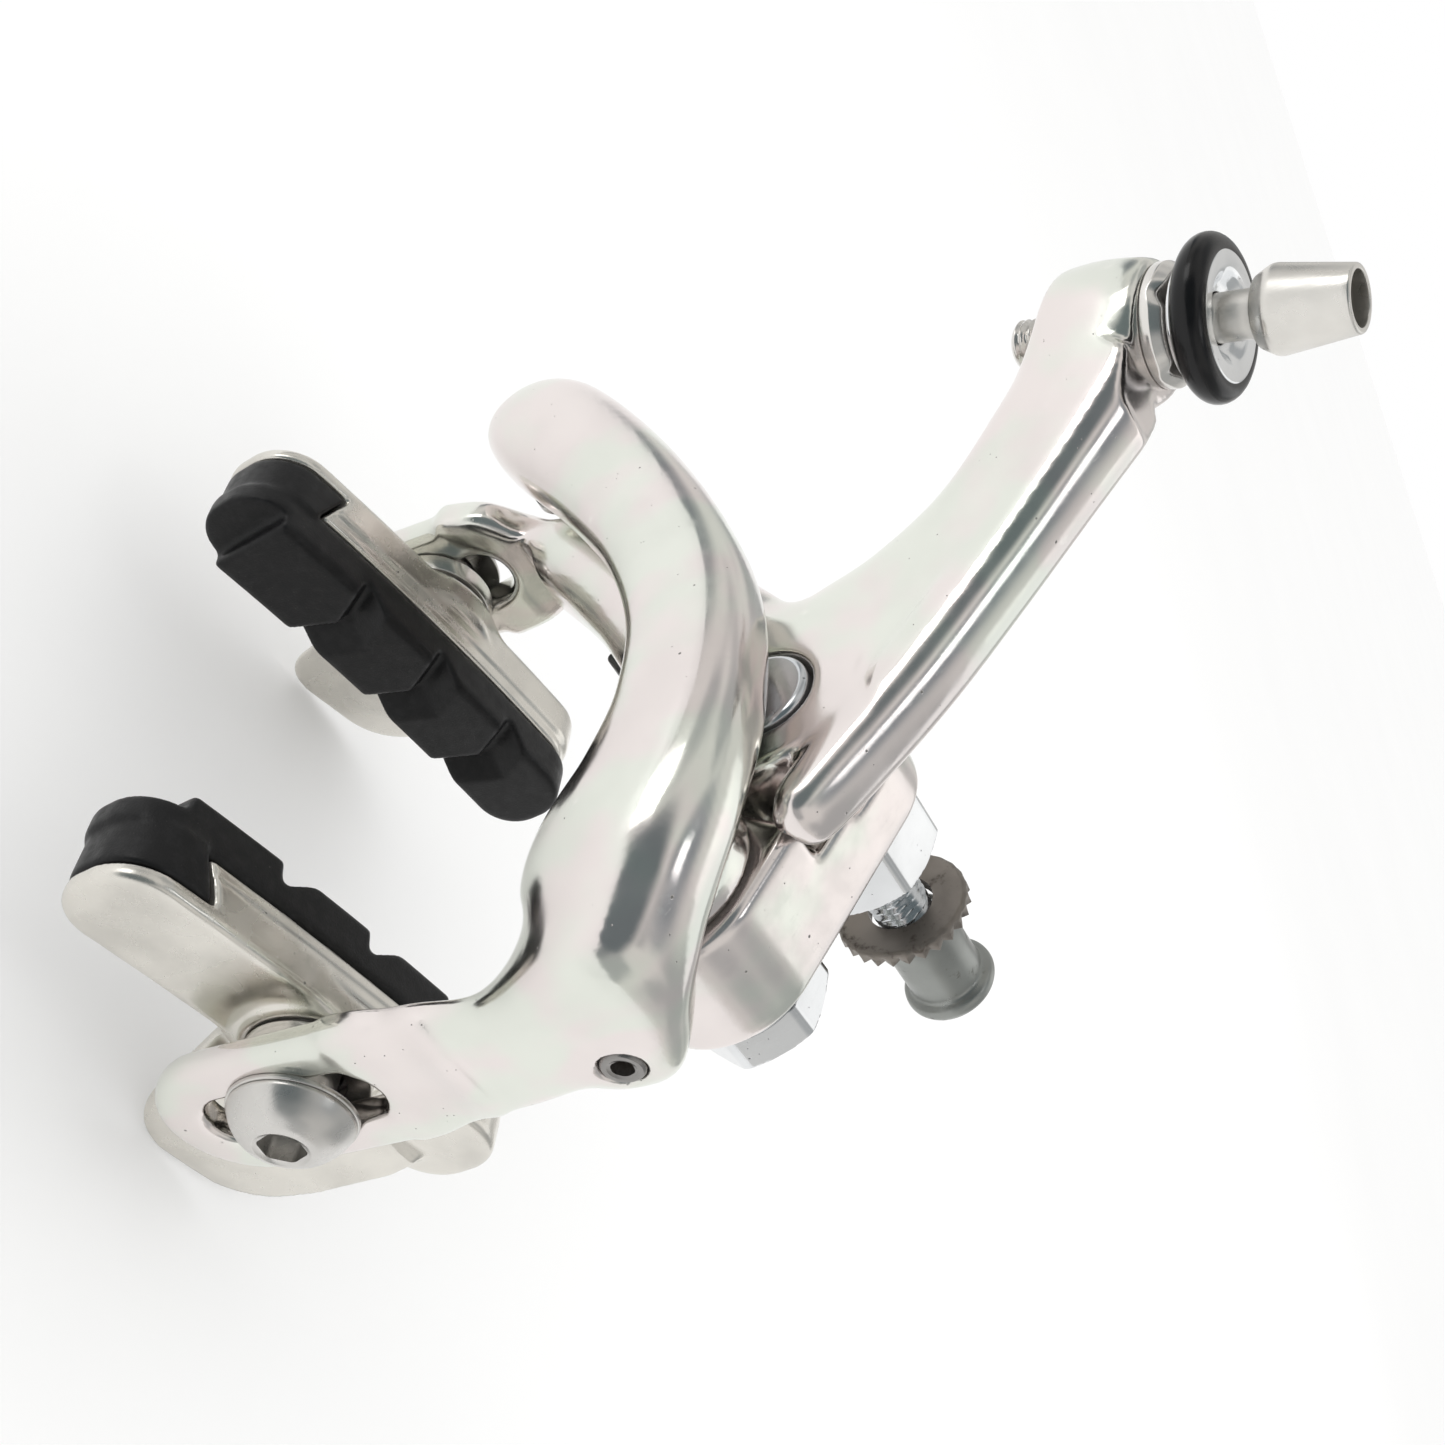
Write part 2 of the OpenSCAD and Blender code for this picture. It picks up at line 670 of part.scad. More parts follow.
// a long rounded outline that follows the rim's curve
function pad_outline(length, height, corner) = [
    for (q = [0 : 3], a = [0 : 15 : 90])
        let (sy = (q == 0 || q == 3) ? 1 : -1, sz = q < 2 ? 1 : -1,
            y = sy * (length / 2 - corner) + corner * cos(a + 90 * q),
            z = sz * (height / 2 - corner) + corner * sin(a + 90 * q))
        [y, z - y * y / (2 * rim_curve_r)]];

module pad_slab(length, height, corner, x0, x1) {
    translate([x0, pad_shift, 0]) rotate([90, 0, 90])
        linear_extrude(x1 - x0) polygon(pad_outline(length, height, corner));
}

module pad_holder(side) {
    front = holder_back + holder_t;
    guide_y = 6.2;
    guide_top = -4;
    guide_drop = 17.6;
    guide_flare = 11;
    guide_yaw = 8;
    guide_t = 1.2;
    color("silver") at_shoe(side) difference() {
        union() {
            pad_slab(pad_length - 1, pad_height + 1, 5, holder_back, front);
            // wheel guide, flared away from the rim
            translate([holder_back, guide_y, guide_top]) rotate([0, guide_flare, guide_yaw])
                rotate([90, 0, 90]) linear_extrude(guide_t)
                    polygon([[-12, 1], [-12, -2], [-9.5, 3 - guide_drop], [-7, -guide_drop],
                        [3.5, -guide_drop], [6.5, 3 - guide_drop], [11, -2], [11, 1]]);
        }
        // channel that the insert slides into
        pad_slab(pad_length - 4, pad_height - 2.4, 4, insert_seat + 2.6, front + 1);
        turn_x(stud_r + thread_gap, -2, holder_back + 5);
    }
}

module pad_insert(side) {
    tread = 2;
    color("#222222") at_shoe(side) difference() {
        union() {
            pad_slab(pad_length - 4.2, pad_height - 2.6, 3.9, insert_seat + 2.7, face_depth - 1);
            pad_slab(pad_length, pad_height, 4.6, holder_back + holder_t, face_depth);
        }
        turn_x(stud_r + 0.4, 0, holder_back + 4.8);
        // one-sided grooves across the rubbing face
        for (y = [-8, 3, 14]) for (half = [0, 1])
            translate([face_depth, pad_shift + y, 0]) mirror([0, 0, half]) rotate([22, 0, 0])
                translate([0, 0, -1]) linear_extrude(12)
                    polygon([[0.1, -0.2], [-tread, 0], [-tread, 0.7], [0.1, 3.4]]);
    }
}

// ---- assembly ----

bridge();
centre_bolt();
centre_lock_nut();
pivot_bolt();
pivot_head_washer();
centre_thrust_washer();
pivot_thrust_washer();
return_spring();
serrated_washer();
sleeve_nut();
y_arm();
centre_bush();
spring_slider();
detent_washer();
c_arm();
pivot_bush();
cable_anchor_bolt();
cable_anchor_washer();
centering_screw();
housing_stop();
adjuster_barrel();
adjuster_knob();
adjuster_ring();
pad_bolt(1);  // right_pad_bolt
pad_head_washer(1);  // right_head_washer
concave_washer(1);  // right_concave_washer
convex_washer(1);  // right_convex_washer
pad_holder(1);  // right_pad_holder
pad_insert(1);  // right_pad_insert
pad_bolt(-1);  // left_pad_bolt
pad_head_washer(-1);  // left_head_washer
concave_washer(-1);  // left_concave_washer
convex_washer(-1);  // left_convex_washer
pad_holder(-1);  // left_pad_holder
pad_insert(-1);  // left_pad_insert
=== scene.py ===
import json
import math

import bmesh
import bpy
import numpy as np
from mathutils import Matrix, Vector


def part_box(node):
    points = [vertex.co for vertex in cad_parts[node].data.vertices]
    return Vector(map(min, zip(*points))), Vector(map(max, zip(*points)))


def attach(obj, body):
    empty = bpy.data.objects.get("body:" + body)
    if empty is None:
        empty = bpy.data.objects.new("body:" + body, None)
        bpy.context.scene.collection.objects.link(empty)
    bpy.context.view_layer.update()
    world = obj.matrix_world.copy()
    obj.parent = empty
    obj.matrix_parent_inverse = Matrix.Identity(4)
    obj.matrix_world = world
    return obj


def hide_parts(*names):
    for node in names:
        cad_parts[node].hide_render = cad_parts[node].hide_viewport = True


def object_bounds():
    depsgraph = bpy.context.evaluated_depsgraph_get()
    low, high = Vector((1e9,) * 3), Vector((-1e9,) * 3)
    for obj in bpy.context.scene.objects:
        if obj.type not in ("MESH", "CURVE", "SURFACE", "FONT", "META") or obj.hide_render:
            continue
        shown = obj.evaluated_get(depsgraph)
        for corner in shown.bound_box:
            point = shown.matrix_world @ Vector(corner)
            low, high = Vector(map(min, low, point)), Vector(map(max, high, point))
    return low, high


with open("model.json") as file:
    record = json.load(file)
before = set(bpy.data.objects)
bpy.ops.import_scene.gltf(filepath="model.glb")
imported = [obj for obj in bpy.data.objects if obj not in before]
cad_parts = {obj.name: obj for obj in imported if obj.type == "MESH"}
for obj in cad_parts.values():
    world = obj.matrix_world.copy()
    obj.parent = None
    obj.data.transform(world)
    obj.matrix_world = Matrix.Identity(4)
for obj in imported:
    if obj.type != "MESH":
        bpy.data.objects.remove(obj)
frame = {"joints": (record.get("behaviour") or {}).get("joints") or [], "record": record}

import openvdb
from mathutils import Matrix, Vector

# Everything below is worked out in millimetres, in the part's own frame:
# +Z up, +Y to the rear, the origin on the centre bolt's axis at its seat face.
MM = 0.001
cad_low, cad_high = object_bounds()


def box_mm(node):
    low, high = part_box(node)
    return np.array(low) / MM, np.array(high) / MM


def joint_mm(name):
    joint = next(j for j in frame["joints"] if j["name"] == name)
    return np.array(joint["pos_m"], float) / MM


# -------------------------------- solid fields

FAR = 6.0              # distances beyond this are cut off
END_ROUND = 0.8        # length of a limb's end cap, in half widths
SPLINE_STEPS = 10      # pieces between two stations
FIELD_MARGIN = 2.5     # room round an arm's box
SAME_POINT = 1e-4      # points nearer than this are one point


def smin(a, b, k):
    if k <= 0:
        return np.minimum(a, b)
    h = np.maximum(k - np.abs(a - b), 0) / k
    return np.minimum(a, b) - h * h * k / 4


def smax(a, b, k):
    return -smin(-a, -b, k)


class Field:
    """A grid of distances to a solid's surface, negative inside it."""

    def __init__(self, low, high, step):
        self.step = step
        self.low = np.array(low, float)
        counts = np.ceil((np.array(high, float) - self.low) / step).astype(int) + 1
        axes = [self.low[i] + step * np.arange(counts[i]) for i in range(3)]
        self.x, self.y, self.z = np.meshgrid(*[a.astype(np.float32) for a in axes],
                                             indexing="ij", sparse=True)
        self.d = np.full(counts, FAR, np.float32)

    def join(self, d, k=0.0):
        self.d = np.broadcast_to(smin(self.d, d, k), self.d.shape)

    def cut(self, d, k=0.0):
        self.d = np.broadcast_to(smax(self.d, -d, k), self.d.shape)

    def soften(self, times):
        d = np.array(np.clip(self.d, -FAR, FAR), np.float32)
        for _ in range(times):
            for axis in range(3):
                m = np.moveaxis(d, axis, 0)
                m[1:-1] = (m[:-2] + 2 * m[1:-1] + m[2:]) / 4
        self.d = d

    def rod_y(self, x, z, r, y0, y1, k=0.0):
        """A cylinder along Y."""
        round_d = np.hypot(self.x - x, self.z - z) - r
        return smax(round_d, np.maximum(y0 - self.y, self.y - y1), k)

    def rod_x(self, y, z, r, x0, x1, k=0.0):
        round_d = np.hypot(self.y - y, self.z - z) - r
        return smax(round_d, np.maximum(x0 - self.x, self.x - x1), k)

    def block(self, low, high, k=0.0):
        dx = np.maximum(low[0] - self.x, self.x - high[0])
        dy = np.maximum(low[1] - self.y, self.y - high[1])
        dz = np.maximum(low[2] - self.z, self.z - high[2])
        return smax(smax(dx, dy, k), dz, k)


def spline_rows(rows):
    """Catmull-Rom curve through the stations."""
    rows = np.array(rows, float)
    last = len(rows) - 1
    out = []
    for i in range(last):
        a, b, c, d = rows[max(i - 1, 0)], rows[i], rows[i + 1], rows[min(i + 2, last)]
        for k in range(SPLINE_STEPS):
            t = k / SPLINE_STEPS
            out.append(0.5 * (2 * b + (c - a) * t + (2 * a - 5 * b + 4 * c - d) * t * t
                              + (3 * b - a - 3 * c + d) * t ** 3))
    out.append(rows[-1])
    return np.array(out)


def sweep(f, stations):
    """A forged limb through stations of x, y, z, half width, half depth and squareness."""
    path = spline_rows(stations)
    x, z = f.x[:, 0, 0][:, None].astype(float), f.z[0, 0, :][None, :].astype(float)
    nearest = np.full((x.size, z.size), np.inf)
    side = np.zeros_like(nearest)
    beyond = np.zeros_like(nearest)
    values = np.zeros((4, x.size, z.size))
    last = len(path) - 2
    for i in range(last + 1):
        a, b = path[i], path[i + 1]
        dx, dz = b[0] - a[0], b[2] - a[2]
        length = math.hypot(dx, dz)
        raw = ((x - a[0]) * dx + (z - a[2]) * dz) / length ** 2
        t = np.clip(raw, 0, 1)
        gap = (x - a[0] - t * dx) ** 2 + (z - a[2] - t * dz) ** 2
        better = gap < nearest
        u = ((x - a[0]) * dz - (z - a[2]) * dx) / length
        over = np.zeros_like(u)
        if i == 0:
            over = np.maximum(-raw * length, 0)
        if i == last:
            over = np.maximum((raw - 1) * length, 0)
        u = np.where(over > 0, u, np.sign(u) * np.sqrt(gap))
        nearest = np.where(better, gap, nearest)
        side = np.where(better, u, side)
        beyond = np.where(better, over, beyond)
        values[0] = np.where(better, a[1] + t * (b[1] - a[1]), values[0])
        for k in (3, 4, 5):
            values[k - 2] = np.where(better, a[k] + t * (b[k] - a[k]), values[k - 2])
    maps = (side, beyond, *values)
    u, w, centre, wide, deep, n = (a[:, None, :].astype(np.float32) for a in maps)
    v = f.y - centre
    u = np.hypot(u, w * wide / END_ROUND)
    across, along = np.abs(u) / wide, np.abs(v) / deep
    size = (across ** n + along ** n) ** (1 / n) + 1e-6
    slope = size ** (1 - n) * np.sqrt((across ** (n - 1) / wide) ** 2
                                      + (along ** (n - 1) / deep) ** 2) + 1e-4
    return np.clip((size - 1) / slope, -FAR, FAR).astype(np.float32)


def build_mesh(name, points, faces, smooth_angle=None):
    mesh = bpy.data.meshes.new(name)
    mesh.from_pydata((np.asarray(points, float) * MM).tolist(), [], [list(q) for q in faces])
    work = bmesh.new()
    work.from_mesh(mesh)
    bmesh.ops.remove_doubles(work, verts=work.verts, dist=SAME_POINT * MM)
    work.to_mesh(mesh)
    work.free()
    mesh.polygons.foreach_set("use_smooth", np.ones(len(mesh.polygons), bool))
    if smooth_angle:
        mesh.set_sharp_from_angle(angle=math.radians(smooth_angle))
    obj = bpy.data.objects.new(name, mesh)
    bpy.context.scene.collection.objects.link(obj)
    return obj


def surface(f, name, place=None, flip=False, relax=3):
    """The field's surface as a mesh. place moves points from the field's frame to the part's."""
    grid = openvdb.FloatGrid(FAR)
    grid.copyFromArray(np.ascontiguousarray(np.clip(f.d, -FAR, FAR), np.float32))
    points, _, quads = grid.convertToPolygons(isovalue=0.0, adaptivity=0.0)
    points = f.low + points.astype(float) * f.step
    if place is not None:
        points = place(points)
    quads = quads.astype(int)
    if flip:
        quads = quads[:, ::-1]
    obj = build_mesh(name, points, quads.tolist())
    if relax:
        smooth = obj.modifiers.new("relax", "SMOOTH")
        smooth.factor = 0.5
        smooth.iterations = relax
    return obj


# -------------------------------- turned parts

FILLET_STEPS = 4
HEX_CORNER = 0.12      # how far a hexagon's corners are worn back


def rounded(corners):
    """A profile of (r, y, fillet[, hex flats]) corners with its corners rounded."""
    rows = [tuple(c) + (0,) * (4 - len(c)) for c in corners]
    out = []
    for i, (r, y, fillet, flats) in enumerate(rows):
        ends = i in (0, len(rows) - 1)
        if ends or fillet <= 0:
            out.append((r, y, flats))
            continue
        p = np.array([r, y])
        a, b = np.array(rows[i - 1][:2]) - p, np.array(rows[i + 1][:2]) - p
        la, lb = np.linalg.norm(a), np.linalg.norm(b)
        a, b = a / la, b / lb
        cut = min(fillet, 0.45 * la, 0.45 * lb)
        for k in range(FILLET_STEPS + 1):
            t = k / FILLET_STEPS
            q = p + (1 - t) ** 2 * a * cut + t * t * b * cut
            out.append((q[0], q[1], flats))
    return out


def dense(profile, spacing):
    out = [profile[0]]
    for a, b in zip(profile[:-1], profile[1:]):
        count = max(1, int(math.hypot(b[0] - a[0], b[1] - a[1]) / spacing))
        for k in range(1, count + 1):
            t = k / count
            out.append((a[0] + t * (b[0] - a[0]), a[1] + t * (b[1] - a[1]),
                        b[2] if a[2] == b[2] or t > 0.5 else a[2]))
    return out


def hex_tip(flats):
    """Distance from a hexagon's middle to its corners."""
    return flats / math.sqrt(3)


def hex_limit(angle, flats):
    """Radius of a hexagon at an angle, with slightly rounded corners."""
    local = (angle + math.pi / 6) % (math.pi / 3) - math.pi / 6
    return min(flats / 2 / math.cos(local), hex_tip(flats) - HEX_CORNER)


def lathe(name, corners, origin, axis, across, segments=72, closed=False, shape=None,
          spacing=None, angle=32):
    """A turned part: y runs along axis from origin, and across is where the angle is 0."""
    profile = rounded(list(corners) + ([corners[0]] if closed else []))
    if closed:
        profile = profile[:-1]
    if spacing:
        profile = dense(profile, spacing)
    a = np.array(axis, float) / np.linalg.norm(axis)
    e1 = np.array(across, float)
    e1 = e1 - a * (e1 @ a)
    e1 /= np.linalg.norm(e1)
    e2 = np.cross(a, e1)
    origin = np.array(origin, float)
    points, rings = [], []
    for r, y, flats in profile:
        if r < 1e-6:
            rings.append([len(points)])
            points.append(origin + a * y)
            continue
        ring = []
        for k in range(segments):
            t = 2 * math.pi * k / segments
            rr = min(r, hex_limit(t, flats)) if flats else r
            yy = y
            if shape:
                rr, yy = shape(t, rr, y)
            ring.append(len(points))
            points.append(origin + a * yy + (math.cos(t) * e1 + math.sin(t) * e2) * rr)
        rings.append(ring)
    faces = []
    pairs = list(zip(rings[:-1], rings[1:]))
    if closed:
        pairs.append((rings[-1], rings[0]))
    for low, high in pairs:
        for k in range(segments):
            n = (k + 1) % segments
            if len(low) == 1 and len(high) == 1:
                continue
            if len(low) == 1:
                faces.append([low[0], high[n], high[k]])
            elif len(high) == 1:
                faces.append([low[k], low[n], high[0]])
            else:
                faces.append([low[k], low[n], high[n], high[k]])
    pts = np.array(points)
    volume = 0.0
    for q in faces:
        p = pts[list(q)] - origin
        for j in range(1, len(q) - 1):
            volume += p[0] @ np.cross(p[j], p[j + 1])
    if volume < 0:
        faces = [q[::-1] for q in faces]
    return build_mesh(name, pts, faces, angle)


def tube(name, centre_line, radius):
    """A round wire along a line of points."""
    segments = 16
    line = np.array(centre_line, float)
    tangent = np.gradient(line, axis=0)
    tangent /= np.linalg.norm(tangent, axis=1)[:, None]
    normal = np.cross(tangent[0], [0.3, 0.9, 0.2])
    points, faces = [], []
    for i, (p, t) in enumerate(zip(line, tangent)):
        normal = normal - t * (normal @ t)
        normal /= np.linalg.norm(normal)
        other = np.cross(t, normal)
        for k in range(segments):
            a = 2 * math.pi * k / segments
            points.append(p + radius * (math.cos(a) * normal + math.sin(a) * other))
    for i in range(len(line) - 1):
        for k in range(segments):
            n = (k + 1) % segments
            faces.append([i * segments + k, i * segments + n,
                          (i + 1) * segments + n, (i + 1) * segments + k])
    faces.append(list(range(segments))[::-1])
    faces.append([(len(line) - 1) * segments + k for k in range(segments)])
    return build_mesh(name, points, faces, 40)


# -------------------------------- materials

EDGE_WEAR = 0.3        # how much paler a metal's worn edges are


class Nodes:
    """Short names for building a node tree."""

    def __init__(self, owner, out="ShaderNodeOutputMaterial"):
        self.owner = owner
        owner.use_nodes = True
        self.tree = owner.node_tree
        self.tree.nodes.clear()
        self.out = self.tree.nodes.new(out)

    def add(self, kind, inputs=None, **props):
        node = self.tree.nodes.new(kind)
        for key, value in props.items():
            setattr(node, key, value)
        for key, value in (inputs or {}).items():
            self.put(node.inputs[key], value)
        return node

    def put(self, socket, value):
        if isinstance(value, bpy.types.NodeSocket):
            self.tree.links.new(value, socket)
        elif isinstance(value, tuple) and len(value) == 3 and socket.type == "RGBA":
            socket.default_value = (*value, 1.0)
        else:
            socket.default_value = value

    def math(self, op, a, b=0.0, clamp=False):
        return self.add("ShaderNodeMath", {0: a, 1: b}, operation=op, use_clamp=clamp).outputs[0]

    def mix(self, factor, a, b):
        node = self.add("ShaderNodeMix", data_type="RGBA")
        self.put(node.inputs[0], factor)
        self.put(node.inputs[6], a)
        self.put(node.inputs[7], b)
        return node.outputs[2]

    def ramp(self, value, low, high, out_low=0.0, out_high=1.0):
        return self.add("ShaderNodeMapRange", {"Value": value, "From Min": low, "From Max": high,
                        "To Min": out_low, "To Max": out_high}, clamp=True,
                        interpolation_type="SMOOTHSTEP").outputs[0]

    def coords(self, stretch=(1, 1, 1), turn=(0, 0, 0)):
        """Position on the part in millimetres, stretched per axis."""
        source = self.add("ShaderNodeTexCoord").outputs["Object"]
        return self.add("ShaderNodeMapping", {"Vector": source,
                        "Rotation": tuple(math.radians(v) for v in turn),
                        "Scale": tuple(v / MM for v in stretch)}).outputs[0]

    def noise(self, scale, detail=3.0, stretch=(1, 1, 1), turn=(0, 0, 0), rough=0.5):
        return self.add("ShaderNodeTexNoise", {"Vector": self.coords(stretch, turn),
                        "Scale": scale, "Detail": detail, "Roughness": rough}).outputs["Fac"]

    def finish(self, inputs, height=None, strength=0.5, depth=0.06):
        """The shader, with a bump of the given depth in mm where there is a height."""
        if height is not None:
            bump = self.add("ShaderNodeBump", {"Strength": strength, "Distance": depth * MM,
                            "Height": height})
            inputs["Normal"] = bump.outputs[0]
        shader = self.add("ShaderNodeBsdfPrincipled", inputs)
        self.tree.links.new(shader.outputs[0], self.out.inputs[0])
        return self.owner

    def spots(self, scale, size, share):
        """Small round pits: 1 in a pit and 0 outside."""
        cell = self.add("ShaderNodeTexVoronoi", {"Vector": self.coords(), "Scale": scale})
        inside = self.ramp(cell.outputs["Distance"], size * 0.5, size, 1.0, 0.0)
        pick = self.add("ShaderNodeSeparateColor", {0: cell.outputs["Color"]}).outputs[0]
        return self.math("MULTIPLY", inside, self.ramp(pick, 1 - share, 1 - share + 0.02))


def metal(name, tone, rough, blotch=0.06, scratch=0.25, pits=0.0, tint=0.0, grime_and_shade=0.0,
          grain=0.0, metallic=1.0, dirt_and_shade_tone=(0.05, 0.035, 0.022), soil=0.0, bump=1.0):
    """A used metal surface: tone, smudges, fine scratches, pits, worn edges, and grime with
    painted shade darkening its hollows.
    """
    m = Nodes(bpy.data.materials.new(name))
    point = m.add("ShaderNodeNewGeometry").outputs["Pointiness"]
    colour = m.mix(m.ramp(m.noise(0.12, 4.0), 0.35, 0.7), tone,
                   tuple(c * (1 - blotch * 2) for c in tone))
    if tint:
        pink = tuple(c * f for c, f in zip(tone, (1.02, 0.93, 0.97)))
        green = tuple(c * f for c, f in zip(tone, (0.94, 1.01, 0.96)))
        hue = m.mix(m.ramp(m.noise(0.09, 2.0, (1, 1.4, 1)), 0.42, 0.58), green, pink)
        colour = m.mix(tint, colour, hue)
    edge = m.ramp(point, 0.52, 0.60)
    patchy = m.math("MULTIPLY", edge, m.ramp(m.noise(1.2, 5.0), 0.35, 0.6))
    light = tuple(min(1.0, c * 1.12 + 0.03) for c in tone)
    colour = m.mix(m.math("MULTIPLY", patchy, EDGE_WEAR), colour, light)
    rough_value = m.ramp(m.noise(0.35, 5.0), 0.3, 0.75, rough * 0.8, rough * 1.35)
    fine = m.noise(1.0, 6.0, (0.5, 7.0, 0.5), (0, 12, 23), 0.7)
    cross = m.noise(1.0, 5.0, (6.0, 0.4, 0.6), (31, 0, 8), 0.7)
    lines = m.math("ADD", m.ramp(fine, 0.60, 0.72), m.ramp(cross, 0.62, 0.74))
    rough_value = m.math("ADD", rough_value, m.math("MULTIPLY", lines, 0.05 * scratch))
    height = m.math("MULTIPLY", lines, -0.12 * scratch)
    height = m.math("ADD", height, m.math("MULTIPLY", m.noise(4.0, 3.0), 0.10 * bump * rough))
    if grain:
        turned = m.noise(1.0, 2.0, (0.3, 14.0, 0.3))
        height = m.math("ADD", height, m.math("MULTIPLY", turned, grain))
    if pits:
        pit = m.math("MAXIMUM", m.spots(0.55, 0.10, pits), m.spots(1.4, 0.13, pits * 0.7))
        colour = m.mix(pit, colour, tuple(c * 0.32 for c in tone))
        rough_value = m.math("ADD", rough_value, m.math("MULTIPLY", pit, 0.35))
        height = m.math("SUBTRACT", height, m.math("MULTIPLY", pit, 0.5))
    if soil:
        patch = m.ramp(m.noise(0.5, 6.0, rough=0.65), 0.62 - 0.25 * soil, 0.72)
        colour = m.mix(m.math("MULTIPLY", patch, 0.85), colour, dirt_and_shade_tone)
        rough_value = m.math("ADD", rough_value, m.math("MULTIPLY", patch, 0.35))
    # Real grime plus painted shade: an ambient occlusion mask darkens recesses and gaps between
    # parts towards the dirt tone, where the hollows fall in shadow.
    if grime_and_shade:
        near = m.add("ShaderNodeAmbientOcclusion", {"Distance": 2.2 * MM}, samples=6)
        hidden = m.ramp(near.outputs["AO"], 0.16, 0.62, 1.0, 0.0)
        dirt_and_shade_mask = m.math("MULTIPLY", hidden, m.ramp(m.noise(0.8, 5.0), 0.25, 0.6, 0.35, 1.0))
        dirt_and_shade_mask = m.math("MULTIPLY", dirt_and_shade_mask, grime_and_shade, True)
        colour = m.mix(dirt_and_shade_mask, colour, dirt_and_shade_tone)
        rough_value = m.math("ADD", rough_value, m.math("MULTIPLY", dirt_and_shade_mask, 0.4))
        metallic_value = m.math("SUBTRACT", metallic, m.math("MULTIPLY", dirt_and_shade_mask, 0.7), True)
    else:
        metallic_value = metallic
    return m.finish({"Base Color": colour, "Metallic": metallic_value,
                     "Roughness": rough_value}, height)


def rubber(name, tone, rough, dust, bump, shine):
    """Moulded rubber with dust, scuffs and paler worn edges."""
    m = Nodes(bpy.data.materials.new(name))
    point = m.add("ShaderNodeNewGeometry").outputs["Pointiness"]
    pale = tuple(c * 3 + 0.02 for c in tone)
    colour = m.mix(m.math("MULTIPLY", m.ramp(m.noise(0.7, 6.0, rough=0.7), 0.45, 0.75), dust),
                   tone, pale)
    colour = m.mix(m.math("MULTIPLY", m.ramp(point, 0.53, 0.62), 0.35 * dust + 0.1), colour, pale)
    specks = m.math("MAXIMUM", m.spots(1.1, 0.12, 0.06), m.spots(2.7, 0.14, 0.05))
    colour = m.mix(m.math("MULTIPLY", specks, dust), colour, (0.16, 0.15, 0.14))
    rough_value = m.ramp(m.noise(0.9, 5.0), 0.3, 0.7, rough * 0.85, rough * 1.2)
    height = m.math("ADD", m.noise(5.0, 4.0), m.math("MULTIPLY", m.noise(0.8, 3.0), 0.8))
    return m.finish({"Base Color": colour, "Roughness": rough_value,
                     "Specular IOR Level": shine}, height, bump, 0.08)


SILVER = (0.80, 0.785, 0.745)
# The grime values set how strongly hollows darken by ambient occlusion: real grime plus painted
# shade.
METALS = {
    "polished_arm": (SILVER, 0.15, dict(tint=0.6, pits=0.10, grime_and_shade=0.55, scratch=0.35)),
    "bridge_alloy": (SILVER, 0.17, dict(tint=0.6, pits=0.14, grime_and_shade=0.9, scratch=0.4)),
    "holder_alloy": ((0.76, 0.735, 0.68), 0.24,
                     dict(pits=0.06, grime_and_shade=0.5, scratch=0.5, blotch=0.09)),
    "satin_alloy": ((0.74, 0.72, 0.68), 0.30, dict(grain=0.25, scratch=0.3)),
    "bolt_chrome": ((0.80, 0.81, 0.82), 0.09, dict(pits=0.22, scratch=0.6, grime_and_shade=0.4)),
    "nut_chrome": ((0.78, 0.79, 0.80), 0.12, dict(pits=0.35, scratch=0.6, grime_and_shade=0.4)),
    "disc_chrome": ((0.66, 0.68, 0.70), 0.15, dict(pits=0.12, scratch=1.0, grime_and_shade=0.25)),
    "bright_steel": ((0.74, 0.72, 0.69), 0.20, dict(grime_and_shade=0.7, scratch=0.4)),
    "satin_bolt": ((0.66, 0.645, 0.62), 0.30, dict(grain=0.3, grime_and_shade=0.6)),
    "grey_steel": ((0.30, 0.31, 0.295), 0.34, dict(blotch=0.12, grime_and_shade=0.5, soil=0.05,
                                                   metallic=0.85, dirt_and_shade_tone=(0.20, 0.195, 0.18))),
    "brown_steel": ((0.24, 0.215, 0.19), 0.36, dict(blotch=0.12, soil=0.35, metallic=0.8,
                                                    dirt_and_shade_tone=(0.075, 0.06, 0.048), bump=3.0)),
    "dark_washer": ((0.24, 0.22, 0.20), 0.35, dict(soil=0.5, metallic=0.8)),
    "dark_screw": ((0.30, 0.29, 0.28), 0.28, dict(grime_and_shade=0.9)),
    "spring_steel": ((0.45, 0.45, 0.44), 0.25, dict(soil=0.3)),
    "bush_brass": ((0.60, 0.43, 0.20), 0.28, dict(soil=0.25)),
}
look = {name: metal(name, tone, rough, **more) for name, (tone, rough, more) in METALS.items()}
RUBBERS = {
    "black_plastic": ((0.020, 0.020, 0.021), 0.38, 0.3, 0.15, 0.5),
    "black_rubber": ((0.003, 0.003, 0.0035), 0.20, 0.06, 0.12, 0.32),
    "pad_rubber": ((0.004, 0.004, 0.0045), 0.40, 0.22, 0.35, 0.30),
}
look.update({name: rubber(name, *values) for name, values in RUBBERS.items()})


node_body = {n: b for b, ns in frame["record"]["behaviour"]["bodies"].items() for n in ns}


def finish_piece(obj, node, slot, material=None):
    """The piece stands for a CAD node, on that node's body."""
    obj.data.materials.clear()
    obj.data.materials.append(look[material or slot])
    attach(obj, node_body[node])
    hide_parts(node)
    return obj


# -------------------------------- shared places

